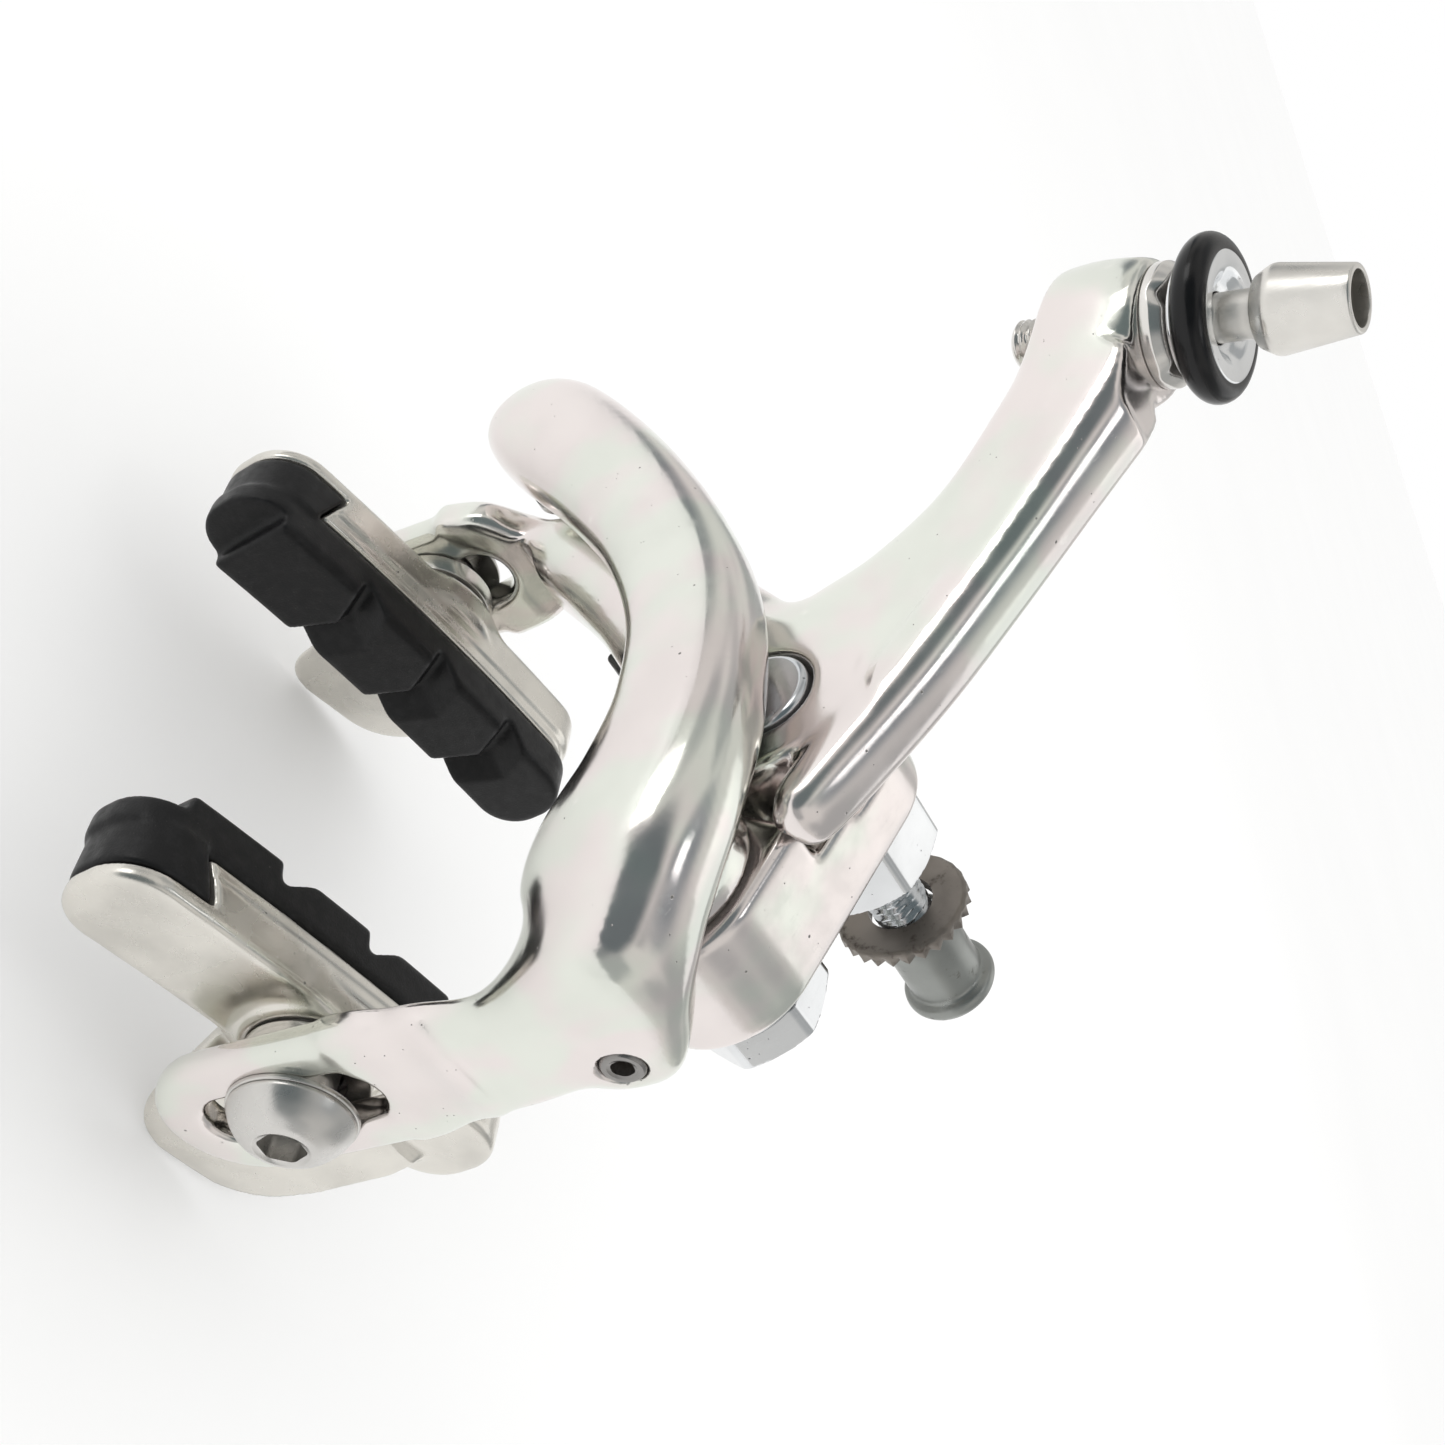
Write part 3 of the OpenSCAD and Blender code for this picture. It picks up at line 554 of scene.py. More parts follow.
pivot = joint_mm("c_arm_pivot")
pivot_x, pivot_z = pivot[0], pivot[2]
bridge_low, bridge_high = box_mm("bridge")
bridge_rear, boss_front = bridge_high[1], bridge_low[1]
BRIDGE_T = 8.0
bridge_front = bridge_rear - BRIDGE_T
THRUST_T = 0.6
HUB_R = 9.1
hub_rear = bridge_front - THRUST_T
HUB_T = 8.0
hub_front = hub_rear - HUB_T
c_layer_rear = hub_front - 0.8
c_hub_rear = boss_front - THRUST_T
c_bore_front = c_layer_rear - 5
PIVOT_AT = (pivot_x, 0, pivot_z)
LINK = math.hypot(pivot_x, pivot_z)
PIVOT_BOSS_R = 9.0
CENTRE_BOSS_R = 8.6
SHANK_R = 3.5
SHANK_BORE_R = 3.55     # what turns or sits on a shank
BUSH_SEAT_R = 4.55
RUN_GAP = 0.5           # room round a part that turns past another
STUD_R = 3.0
Y_AXIS = (0, 1, 0)
SLOT_HALF = 5.8
SLOT_R = 3.3
PLATE_R = 8.0

pad = {}
for side, word in ((1, "right"), (-1, "left")):
    hinge = joint_mm(f"{word}_pad_swivel")
    low, high = box_mm(f"{word}_head_washer")
    concave_low, concave_high = box_mm(f"{word}_concave_washer")
    inner = concave_high[0] if side > 0 else concave_low[0]
    outer = low[0] if side > 0 else high[0]
    pad[side] = {"word": word, "y": hinge[1], "z": hinge[2],
                 "inner": abs(inner), "outer": abs(outer)}
PLATE_TOP = {1: 13.5, -1: 11.5}     # above the bolt, for each side
PLATE_TOP_ROUND = 4.0
PLATE_EDGE = 1.6


def link_axes(f):
    """Distance along the line from the centre bolt to the second pivot, and above it."""
    ux, uz = pivot_x / LINK, pivot_z / LINK
    return f.x * ux + f.z * uz, f.z * ux - f.x * uz


def slot_plate(f, side):
    """The flat plate at an arm's lower end."""
    p = pad[side]
    dy = np.abs(f.y - p["y"])
    low_z = p["z"] - SLOT_HALF
    flat = np.hypot(dy, np.maximum(low_z - f.z, 0)) - PLATE_R
    flat = smax(flat, f.z - p["z"] - PLATE_TOP[side], PLATE_TOP_ROUND)
    middle = side * (p["inner"] + p["outer"]) / 2
    half = (p["outer"] - p["inner"]) / 2
    return smax(flat, np.abs(f.x - middle) - half, PLATE_EDGE)


def slot_hole(f, side):
    p = pad[side]
    dz = np.maximum(np.abs(f.z - p["z"]) - SLOT_HALF, 0)
    hole = np.hypot(f.y - p["y"], dz) - SLOT_R
    middle = side * (p["inner"] + p["outer"]) / 2
    return np.maximum(hole, np.abs(f.x - middle) - 8)


def plate_room(f, side):
    """Room beside the slot plate for the washers and the shoe."""
    p = pad[side]
    top = p["z"] + SLOT_HALF + PLATE_R
    below = np.maximum(f.z - top, np.abs(f.y - p["y"]) - 12)
    x = side * f.x
    return smax(np.maximum(p["inner"] - 12 - x, x - p["inner"] + 0.1), below, 2.0)


# -------------------------------- front arm

ARM_STEP = 0.38
C_STATIONS = [
    [-45.4, -33.6, -29.6, 2.6, 2.4, 2.2], [-43.6, -33.6, -28.0, 5.2, 4.2, 2.3],
    [-39.0, -33.4, -23.4, 6.6, 5.0, 2.5], [-29.5, -32.0, -15.8, 6.4, 4.9, 2.5],
    [-18.0, -30.8, -8.8, 6.0, 4.9, 2.6], [-6.0, -30.2, -4.2, 6.2, 4.9, 2.6],
    [6.0, -30.2, -3.0, 6.6, 5.0, 2.6], [15.0, -29.8, -4.6, 7.4, 5.4, 2.5],
    [22.5, -27.6, -8.6, 8.2, 6.8, 2.5], [29.0, -23.4, -13.0, 7.4, 7.4, 2.6],
    [31.5, -20.8, -20.5, 4.0, 6.4, 2.7], [31.0, -20.8, -28.0, 2.1, 7.3, 3.2],
    [31.0, -20.8, -35.0, 1.45, 7.85, 4.0]]
C_CORNER = [
    [21.0, -22.0, -8.0, 3.0, 4.0, 2.3], [26.0, -20.4, -10.4, 5.0, 5.2, 2.4],
    [30.6, -18.6, -12.2, 5.4, 5.4, 2.4], [33.0, -18.2, -12.8, 4.4, 4.4, 2.4]]
anchor_low, anchor_high = box_mm("cable_anchor_washer")
anchor_x = (anchor_low[0] + anchor_high[0]) / 2
anchor_z = (anchor_low[2] + anchor_high[2]) / 2
anchor_face = anchor_low[1]
ANCHOR_AT = (anchor_x, 0, anchor_z)
screw_low, screw_high = box_mm("centering_screw")
screw_y = (screw_low[1] + screw_high[1]) / 2
screw_z = (screw_low[2] + screw_high[2]) / 2


def build_c_arm():
    low, high = box_mm("c_arm")
    f = Field(low - FIELD_MARGIN, high + FIELD_MARGIN, ARM_STEP)
    f.join(sweep(f, C_STATIONS))
    f.join(sweep(f, C_CORNER), 2.5)
    f.join(slot_plate(f, 1), 1.2)
    f.join(f.rod_y(pivot_x, pivot_z, 8.6, c_layer_rear - 0.6, c_hub_rear, 0.8), 0.6)
    cone = np.hypot(f.x - pivot_x, f.z - pivot_z) - 8.6 + (c_layer_rear - 0.6 - f.y) * 0.5
    f.join(smax(cone, np.maximum(c_bore_front - 1 - f.y, f.y - c_layer_rear + 1), 0.5), 1.0)
    f.cut(f.rod_y(pivot_x, pivot_z, BUSH_SEAT_R, c_bore_front, c_hub_rear + 10), 0.2)
    f.cut(f.rod_y(0, 0, HUB_R + RUN_GAP, c_layer_rear, c_layer_rear + 12), 0.8)
    f.cut(f.block((-60, c_layer_rear, -60), (7, c_layer_rear + 12, 20), 0.5), 1.2)
    f.cut(f.block((6, c_layer_rear, 0.5), (22, c_layer_rear + 12, 20), 0.5), 1.0)
    f.cut(f.rod_y(pivot_x, pivot_z, PIVOT_BOSS_R + RUN_GAP, c_hub_rear, c_hub_rear + 20), 0.4)
    f.cut(f.block((anchor_x - 9, anchor_face, anchor_z - 9),
                  (anchor_x + 9, anchor_face + 10, anchor_z + 9)), 0.8)
    f.cut(f.rod_y(anchor_x, anchor_z, 2.52, anchor_face - 6.5, anchor_face + 1), 0.3)
    side_face = screw_high[0] + 0.25
    f.cut(f.block((side_face, -60, -24), (side_face + 9, 0, 6), 0.5), 3.0)
    hole = f.rod_x(screw_y, screw_z, 2.05, screw_low[0] - 2, screw_high[0] + 8)
    f.cut(hole, 0.35)
    f.cut(slot_hole(f, 1), 0.7)
    f.cut(plate_room(f, 1), 0.7)
    f.soften(1)
    return finish_piece(surface(f, "front_arm"), "c_arm", "polished_arm")


# -------------------------------- cable-side arm

Y_UPPER = [
    [3.0, -20.1, -2.0, 6.4, 3.9, 2.6], [-4.8, -20.2, 6.8, 10.2, 3.9, 2.6],
    [-10.4, -20.7, 14.0, 7.8, 4.0, 2.6], [-16.0, -22.2, 21.2, 6.2, 4.3, 2.6],
    [-23.2, -24.2, 27.8, 5.8, 4.9, 2.6], [-31.0, -26.0, 34.0, 5.9, 5.6, 2.6],
    [-36.6, -26.0, 37.0, 4.4, 5.0, 2.4]]
Y_RIB = [
    [14.4, -21.0, 2.6, 1.2, 2.2, 2.2], [12.8, -20.8, 4.0, 2.4, 3.4, 2.4],
    [6.2, -20.5, 8.8, 3.0, 3.8, 2.5], [-1.0, -20.7, 14.6, 3.2, 4.0, 2.5],
    [-9.6, -21.8, 21.8, 3.2, 4.1, 2.5], [-18.2, -23.8, 29.4, 3.4, 4.4, 2.5],
    [-26.0, -25.6, 35.8, 4.0, 5.0, 2.5]]
Y_LOWER = [
    [2.0, -20.1, 1.0, 6.2, 3.9, 2.6], [-5.0, -20.1, -2.6, 8.2, 3.9, 2.6],
    [-13.2, -20.8, -9.0, 8.0, 4.2, 2.6], [-22.2, -21.6, -15.8, 6.8, 4.2, 2.6],
    [-29.8, -22.4, -23.4, 5.6, 5.2, 2.6], [-33.8, -22.6, -30.0, 3.8, 5.2, 2.8],
    [-34.0, -24.0, -38.0, 2.1, 7.8, 3.8]]
adjuster = joint_mm("adjuster_turn")
slide = next(j for j in frame["joints"] if j["name"] == "adjuster_slide")
adjuster_axis = np.array(slide["axis"], float)
adjuster_axis /= np.linalg.norm(adjuster_axis)
BOSS_R = 6.5
BOSS_TOP = -4.9
BOSS_BOTTOM = -14.8
slider_low, slider_high = box_mm("spring_slider")


def along_adjuster(f):
    """Distance from the adjuster's axis, and height along it, at each point."""
    dx, dy, dz = f.x - adjuster[0], f.y - adjuster[1], f.z - adjuster[2]
    t = dx * adjuster_axis[0] + dy * adjuster_axis[1] + dz * adjuster_axis[2]
    r = np.sqrt(np.maximum(dx * dx + dy * dy + dz * dz - t * t, 0))
    return r, t


def build_y_arm():
    low, high = box_mm("y_arm")
    f = Field(low - FIELD_MARGIN, high + FIELD_MARGIN, ARM_STEP)
    f.join(f.rod_y(0, 0, HUB_R, hub_front, hub_rear, 0.8))
    f.join(sweep(f, Y_UPPER), 1.5)
    f.join(sweep(f, Y_LOWER), 2.5)
    f.join(sweep(f, Y_RIB), 0.9)
    f.join(slot_plate(f, -1), 3.0)
    r, t = along_adjuster(f)
    f.join(smax(r - BOSS_R, np.maximum(BOSS_BOTTOM - t, t - BOSS_TOP), 1.4), 3.0)
    f.cut(f.rod_y(0, 0, BUSH_SEAT_R, hub_front - 2, hub_rear + 2), 0.2)
    f.cut(f.rod_y(0, 0, 5.0, hub_front - 3, hub_front + 1.8), 0.25)
    f.cut(np.maximum(r - 2.55, np.abs(t - BOSS_BOTTOM - 2) - 14), 0.3)
    f.cut(np.maximum(r - 12, np.abs(t - BOSS_TOP - 6) - 6), 0.4)
    f.cut(f.block(slider_low - 0.1, slider_high + 0.1), 0.2)
    f.cut(f.rod_y(anchor_x, anchor_z, 6.3, anchor_face - 8, anchor_face + 7), 0.6)
    f.cut(slot_hole(f, -1), 0.7)
    f.cut(plate_room(f, -1), 0.7)
    f.cut(f.block((-11, hub_front - 5, -11), (29, hub_front, 11), 0.5), 0.4)
    f.cut(f.block((-11, hub_rear, -11), (29, hub_rear + 5, 11), 0.5), 0.4)
    f.cut(f.rod_y(pivot_x, pivot_z, PIVOT_BOSS_R + RUN_GAP, hub_front - 2, hub_rear + 1), 0.5)
    along, up = link_axes(f)
    link = np.maximum(np.maximum(HUB_R + 0.1 - along, along - LINK),
                      np.abs(up) - PIVOT_BOSS_R - RUN_GAP)
    f.cut(smax(link, boss_front - 0.5 - f.y, 0.3), 0.4)
    f.soften(1)
    return finish_piece(surface(f, "cable_arm"), "y_arm", "polished_arm")


# -------------------------------- bridge

spring_low, spring_high = box_mm("return_spring")
COIL_R = 6.1
RECESS = 1.4
THRUST_R = 5.3
WIRE_R = 0.7
COIL_TURNS = 0.97


def build_bridge():
    f = Field(bridge_low - 1.5, bridge_high + 1.5, 0.28)
    along, up = link_axes(f)
    t = np.clip(along / LINK, 0, 1)
    near = np.hypot(f.x - t * pivot_x, f.z - t * pivot_z)
    flat = near - (CENTRE_BOSS_R + t * (PIVOT_BOSS_R - CENTRE_BOSS_R))
    f.join(smax(flat, np.maximum(boss_front - f.y, f.y - bridge_rear), 1.3))
    f.cut(f.rod_y(0, 0, HUB_R + 1.0, boss_front - 6, bridge_front, 3.2), 0.9)
    foot = smax(np.maximum(-1 - along, along - HUB_R - 1.2), 2 - up, 0.5)
    f.cut(smax(foot, np.maximum(boss_front - 2 - f.y, f.y - bridge_front), 1.0), 0.6)
    recess = f.rod_y(0, 0, HUB_R + 0.6, boss_front - 6, bridge_front + RECESS, 1.0)
    f.cut(smax(recess, THRUST_R - np.hypot(f.x, f.z), 0.4), 0.3)
    f.cut(f.rod_y(0, 0, SHANK_R + 0.03, bridge_front - 1, bridge_rear + 1), 0.25)
    f.cut(f.rod_y(pivot_x, pivot_z, SHANK_R + 0.03, boss_front - 1, bridge_rear + 1), 0.25)
    floor_y = spring_high[1] + 0.4
    r = np.hypot(f.x, f.z)
    f.cut(smax(np.abs(r - COIL_R) - WIRE_R - 0.3,
               np.maximum(bridge_front - 1 - f.y, f.y - floor_y), 0.2), 0.2)
    f.cut(leg_slot(f, bridge_front - 1, floor_y - 0.2), 0.2)
    f.soften(1)
    return finish_piece(surface(f, "bridge_link"), "bridge", "polished_arm", "bridge_alloy")


slider_mid = (slider_low + slider_high) / 2
leg_span = math.hypot(slider_mid[0], slider_mid[2])
leg_turn = math.atan2(-slider_mid[0], -slider_mid[2]) + math.asin(COIL_R / leg_span)
leg_out = np.array([math.cos(leg_turn), -math.sin(leg_turn)])
leg_down = np.array([-math.sin(leg_turn), -math.cos(leg_turn)])
leg_length = math.sqrt(leg_span ** 2 - COIL_R ** 2) - 1.6


def leg_slot(f, y0, y1):
    """Way out of the bridge for the spring's leg."""
    out = f.x * leg_out[0] + f.z * leg_out[1]
    down = f.x * leg_down[0] + f.z * leg_down[1]
    side = np.abs(out - COIL_R) - WIRE_R - 0.15
    return np.maximum(np.maximum(side, np.maximum(-down, down - 12)),
                      np.maximum(y0 - f.y, f.y - y1))


def build_spring():
    y0 = spring_low[1] + WIRE_R
    y1 = spring_high[1] - WIRE_R
    start = math.atan2(leg_out[1], leg_out[0])
    line = []
    for k in range(12):
        point = leg_out * COIL_R + leg_down * leg_length * (1 - k / 12)
        line.append([point[0], y0, point[1]])
    for k in range(61):
        t = k / 60
        a = start + 2 * math.pi * COIL_TURNS * t
        line.append([COIL_R * math.cos(a), y0 + (y1 - y0) * t, COIL_R * math.sin(a)])
    return finish_piece(tube("return_wire", line, WIRE_R - 0.08), "return_spring", "spring_steel")


# -------------------------------- centre bolt and its parts


def turned(name, node, slot, corners, origin=(0, 0, 0), axis=Y_AXIS, across=(1, 0, 0),
           material=None, **more):
    finish_piece(lathe(name, corners, origin, axis, across, **more), node, slot, material)


def washer(name, node, slot, inner, outer, y0, y1, origin=(0, 0, 0), edge=0.12, **more):
    corners = [(inner, y0, edge), (outer, y0, edge), (outer, y1, edge), (inner, y1, edge)]
    turned(name, node, slot, corners, origin, closed=True, **more)


def thread(radius, depth, pitch, y0, y1):
    """A screw thread's radius and place, as a shape for lathe."""
    def shape(angle, r, y):
        if r < radius - 0.01 or not y0 < y < y1:
            return r, y
        phase = (y / pitch - angle / (2 * math.pi)) % 1
        fade = min(1.0, (y - y0) / pitch, (y1 - y) / pitch)
        return r - depth * fade * (1 - abs(2 * phase - 1)), y
    return shape


def build_centre_bolt():
    low, high = box_mm("centre_bolt")
    front, end = low[1], high[1]
    cap_r = 4.7
    corners = [(0, front, 0), (cap_r - 0.5, front, 0.3), (cap_r, front + 0.35, 0.3),
               (cap_r, front + 2, 0), (SHANK_R, front + 2, 0), (SHANK_R, bridge_rear - 0.3, 0.2),
               (STUD_R, bridge_rear, 0), (STUD_R, end - 0.6, 0.2), (STUD_R - 0.6, end, 0.2),
               (0, end, 0)]
    screw = thread(STUD_R, 0.55, 1.0, 0.2, end - 0.7)
    turned("centre_stud", "centre_bolt", "bolt_chrome", corners, material="disc_chrome",
           segments=56, shape=screw, spacing=0.14, angle=50)


def build_nuts():
    low, high = box_mm("centre_lock_nut")
    flats = 13.0
    tip = hex_tip(flats)
    corners = [(STUD_R + 0.02, low[1], 0.1), (tip, low[1], 0, flats),
               (tip, high[1] - 0.75, 0.3, flats), (flats / 2 - 0.15, high[1], 0.2, flats),
               (STUD_R + 0.5, high[1], 0.1), (STUD_R + 0.02, high[1] - 0.5, 0)]
    turned("lock_nut", "centre_lock_nut", "nut_chrome", corners, across=(1, 0, 0.15),
           segments=120, closed=True, spacing=0.2)

    low, high = box_mm("pivot_bolt")
    flats = 12.0
    tip = hex_tip(flats)
    face = bridge_rear + 0.6
    corners = [(0, low[1], 0), (SHANK_R - 0.3, low[1], 0.2), (SHANK_R, low[1] + 0.4, 0.1),
               (SHANK_R, face, 0), (6.9, face, 0.15), (6.9, face + 1.0, 0.35),
               (6.3, face + 1.15, 0.1), (tip, face + 1.3, 0.1, flats),
               (tip, high[1] - 0.95, 0.35, flats), (flats / 2 - 0.55, high[1] - 0.1, 0.5, flats),
               (0, high[1] - 0.05, 0)]
    turned("pivot_stud", "pivot_bolt", "bolt_chrome", corners, PIVOT_AT, across=(1, 0, 0.4),
           material="nut_chrome", segments=120, spacing=0.22)


def build_sleeve_nut():
    low, high = box_mm("sleeve_nut")
    front, end = low[1], high[1]
    flats = 5.0
    tip = hex_tip(flats)
    bore = STUD_R + 0.05
    corners = [(bore, front, 0.1), (3.7, front, 0.2), (4.0, front + 0.3, 0.2),
               (4.0, end - 2.0, 0.35), (4.85, end - 1.6, 0.3), (5.0, end - 0.8, 0.5),
               (4.6, end, 0.3), (3.6, end, 0.15), (tip, end - 1.0, 0.1, flats),
               (tip, end - 3.4, 0, flats), (bore, end - 3.4, 0, flats)]
    turned("recessed_nut", "sleeve_nut", "grey_steel", corners, across=(1, 0, 0.2),
           segments=96, closed=True, spacing=0.25)


LOOSE_AXIS = (0.05, 1, -0.09)     # the washer hangs loose on the stud, slightly tilted


def build_serrated():
    low, high = box_mm("serrated_washer")
    outer = high[0]
    teeth = 26

    def toothed(angle, r, y):
        if r < outer - 1.9:
            return r, y
        wave = abs(((angle * teeth / (2 * math.pi)) % 1) * 2 - 1)
        rear = y / (high[1] - low[1]) + 0.5
        grow = min(1.0, (r - outer + 1.9) / 1.2)
        return r - 0.42 * wave * max(rear, 0.25) * grow, y - 0.45 * wave * rear * grow

    corners = [(3.4, low[1], 0.15), (outer - 0.3, low[1], 0.2), (outer, low[1] + 0.4, 0.2),
               (outer, high[1], 0.15), (outer - 1.7, high[1], 0.2), (4.6, high[1] - 0.35, 0.2),
               (3.4, high[1] - 0.2, 0.15)]
    middle = (low[1] + high[1]) / 2
    corners = [(r, y - middle, fillet) for r, y, fillet in corners]
    turned("serrated_ring", "serrated_washer", "brown_steel", corners, (0, middle, 0), LOOSE_AXIS,
           segments=teeth * 8, closed=True, shape=toothed, spacing=0.3, angle=25)


def build_small_turned():
    for name, node, material, outer, at in (
            ("pivot_washer", "pivot_head_washer", "dark_washer", 7.2, PIVOT_AT),
            ("centre_shim", "centre_thrust_washer", "dark_washer", 5.0, (0, 0, 0)),
            ("pivot_shim", "pivot_thrust_washer", "dark_washer", 7.6, PIVOT_AT),
            ("centre_sleeve", "centre_bush", "bush_brass", 4.5, (0, 0, 0)),
            ("pivot_sleeve", "pivot_bush", "bush_brass", 4.5, PIVOT_AT)):
        low, high = box_mm(node)
        washer(name, node, material, SHANK_BORE_R, outer, low[1], high[1], at)


# -------------------------------- anchor, screw, slider


def build_anchor():
    low, high = box_mm("cable_anchor_washer")

    def grooved(angle, r, y):
        x = r * math.cos(angle)
        dip = max(0.0, 0.85 ** 2 - (x - 3.6) ** 2) ** 0.5
        return r, y + dip if y < low[1] + 0.3 else y

    washer("clamp_washer", "cable_anchor_washer", "bright_steel", 2.6, 5.6, low[1], high[1],
           ANCHOR_AT, 0.25, shape=grooved, spacing=0.25, segments=96)
    low, high = box_mm("cable_anchor_bolt")
    seat = anchor_high[1]
    tip = hex_tip(4)
    corners = [(0, high[1] - 2.2, 0), (tip, high[1] - 2.2, 0, 4.0), (tip, high[1] - 0.3, 0, 4.0),
               (2.6, high[1], 0.1), (3.9, high[1], 0.4), (4.4, high[1] - 0.9, 0.4),
               (4.4, seat, 0.15), (2.5, seat, 0), (2.5, low[1] + 0.4, 0.1),
               (2.1, low[1], 0.1), (0, low[1], 0)]
    turned("clamp_bolt", "cable_anchor_bolt", "bolt_chrome", corners, ANCHOR_AT,
           across=(1, 0, 0.3))


def build_centering_screw():
    low, high = box_mm("centering_screw")
    length = high[0] - low[0]
    tip = hex_tip(2)
    corners = [(0, 2.4, 0), (tip, 2.4, 0, 2.0), (tip, 0.15, 0, 2.0), (1.35, 0.0, 0.08),
               (1.75, 0.0, 0.12), (2.0, 0.3, 0.1), (2.0, length - 1, 0.1),
               (1.2, length - 1, 0), (1.2, length, 0.3), (0, length, 0)]
    turned("side_screw", "centering_screw", "dark_screw", corners, (high[0], screw_y, screw_z),
           (-1, 0, 0), (0, 1, 0.3), segments=60)


def build_slider():
    f = Field(slider_low - 1, slider_high + 1, 0.14)
    dx, dz = f.x - slider_mid[0], f.z - slider_mid[2]
    u = dx * leg_out[0] + dz * leg_out[1]
    v = dx * leg_down[0] + dz * leg_down[1]
    f.join(smax(smax(np.abs(u) - 2.2, np.abs(v) - 2.6, 0.6),
                np.abs(f.y - slider_mid[1]) - (slider_high[1] - slider_low[1]) / 2, 0.6))
    leg_y = spring_low[1] + WIRE_R
    f.cut(np.maximum(np.hypot(u, f.y - leg_y) - WIRE_R - 0.05, v - 1.0), 0.1)
    finish_piece(surface(f, "slider_shoe", relax=1), "spring_slider", "black_plastic")


# -------------------------------- cable adjuster


def adjuster_part(name, node, slot, corners, segments, **more):
    turned(name, node, slot, corners, adjuster, adjuster_axis, (0, 1, 0), closed=True,
           segments=segments, **more)


def build_adjuster():
    stop_corners = [(1.0, -1.6, 0.1), (2.3, -1.6, 0.1), (2.3, 4.3, 0.3), (3.3, 4.4, 0.2),
                    (4.2, 6.0, 0.5), (3.1, 13.4, 0.25), (2.55, 13.4, 0.12), (2.55, 5.0, 0.1),
                    (1.0, 5.0, 0.1)]
    adjuster_part("housing_cup", "housing_stop", "satin_alloy", stop_corners, 80, spacing=0.5)
    screw = thread(2.5, 0.4, 0.8, -19.7, -14.0)
    barrel_corners = [(1.0, -20.0, 0.1), (2.0, -20.0, 0.2), (2.5, -19.5, 0.2), (2.5, -2.4, 0),
                      (1.0, -2.4, 0)]
    adjuster_part("threaded_barrel", "adjuster_barrel", "bright_steel", barrel_corners, 60,
                  shape=screw, spacing=0.13, angle=50)
    knob_corners = [(1.0, -2.4, 0.05), (5.7, -2.4, 0.3), (5.75, -1.65, 0.1), (4.5, -1.55, 0.3),
                    (4.45, 0.9, 0.3), (5.4, 1.05, 0.1), (6.25, 1.35, 0.2), (6.0, 1.7, 0.25),
                    (4.3, 1.55, 0.4), (3.2, 0.55, 0.4), (2.4, 0.35, 0.15), (2.37, -1.7, 0),
                    (1.0, -1.7, 0.05)]
    adjuster_part("dial", "adjuster_knob", "bright_steel", knob_corners, 96, spacing=0.4,
                  angle=40, material="bolt_chrome")
    ring = []
    count = 28
    for k in range(count):
        a = 2 * math.pi * k / count
        ring.append((6.2 + 1.65 * math.cos(a), 1.65 * math.sin(a), 0))

    def squeezed(angle, r, y):
        return r * (1 + 0.004 * math.sin(3 * angle + 0.6)), y * (1 + 0.02 * math.sin(2 * angle))

    adjuster_part("grip_ring", "adjuster_ring", "black_rubber", ring, 96, shape=squeezed, angle=60)

    def wavy(angle, r, y):
        top = (y - BOSS_TOP) / 2.2
        dip = max(0.0, math.cos(4 * (angle - 0.35))) ** 3
        return r, y - 0.75 * dip * max(0.0, top)

    detent_corners = [(2.85, BOSS_TOP, 0.1), (5.9, BOSS_TOP, 0.15), (5.9, BOSS_TOP + 1.0, 0.15),
                      (5.2, BOSS_TOP + 2.15, 0.25), (2.85, BOSS_TOP + 2.15, 0.15)]
    adjuster_part("click_washer", "detent_washer", "bright_steel", detent_corners, 120,
                  shape=wavy, spacing=0.3)


# -------------------------------- shoes

PAD_PITCH = math.radians(8)
PAD_SHIFT = -2.2
RIM_CURVE_R = 310.0
HOLDER_BACK = 3.2
HOLDER_FRONT = 9.2
FACE_DEPTH = 14.0
PAD_LENGTH = 49.5
PAD_HEIGHT = 10.4
SHOE_STEP = 0.24
MOUTH_LENGTH = 9.5
MOUTH_X = 4.9
CONVEX_EXTRA = {1: 0.0, -1: 1.0}


def shoe_place(side):
    """Moves shoe points (x from the arm's face to the rim) into the part's frame."""
    p = pad[side]

    def place(points):
        x = points[:, 0] + CONVEX_EXTRA[side]
        c, s = math.cos(PAD_PITCH), math.sin(PAD_PITCH)
        y = points[:, 1] * c - points[:, 2] * s
        z = points[:, 1] * s + points[:, 2] * c
        return np.stack([side * (p["inner"] - x), p["y"] + y, p["z"] + z], axis=1)
    return place


def pad_flat(f, length, height, corner):
    y = f.y - PAD_SHIFT
    z = f.z + y * y / (2 * RIM_CURVE_R)
    qy, qz = np.abs(y) - (length / 2 - corner), np.abs(z) - (height / 2 - corner)
    return (np.hypot(np.maximum(qy, 0), np.maximum(qz, 0))
            + np.minimum(np.maximum(qy, qz), 0) - corner)


def pad_layer(f, length, height, corner, x0, x1, k=0.5):
    flat = pad_flat(f, length, height, corner)
    return smax(flat, np.maximum(x0 - f.x, f.x - x1), k)


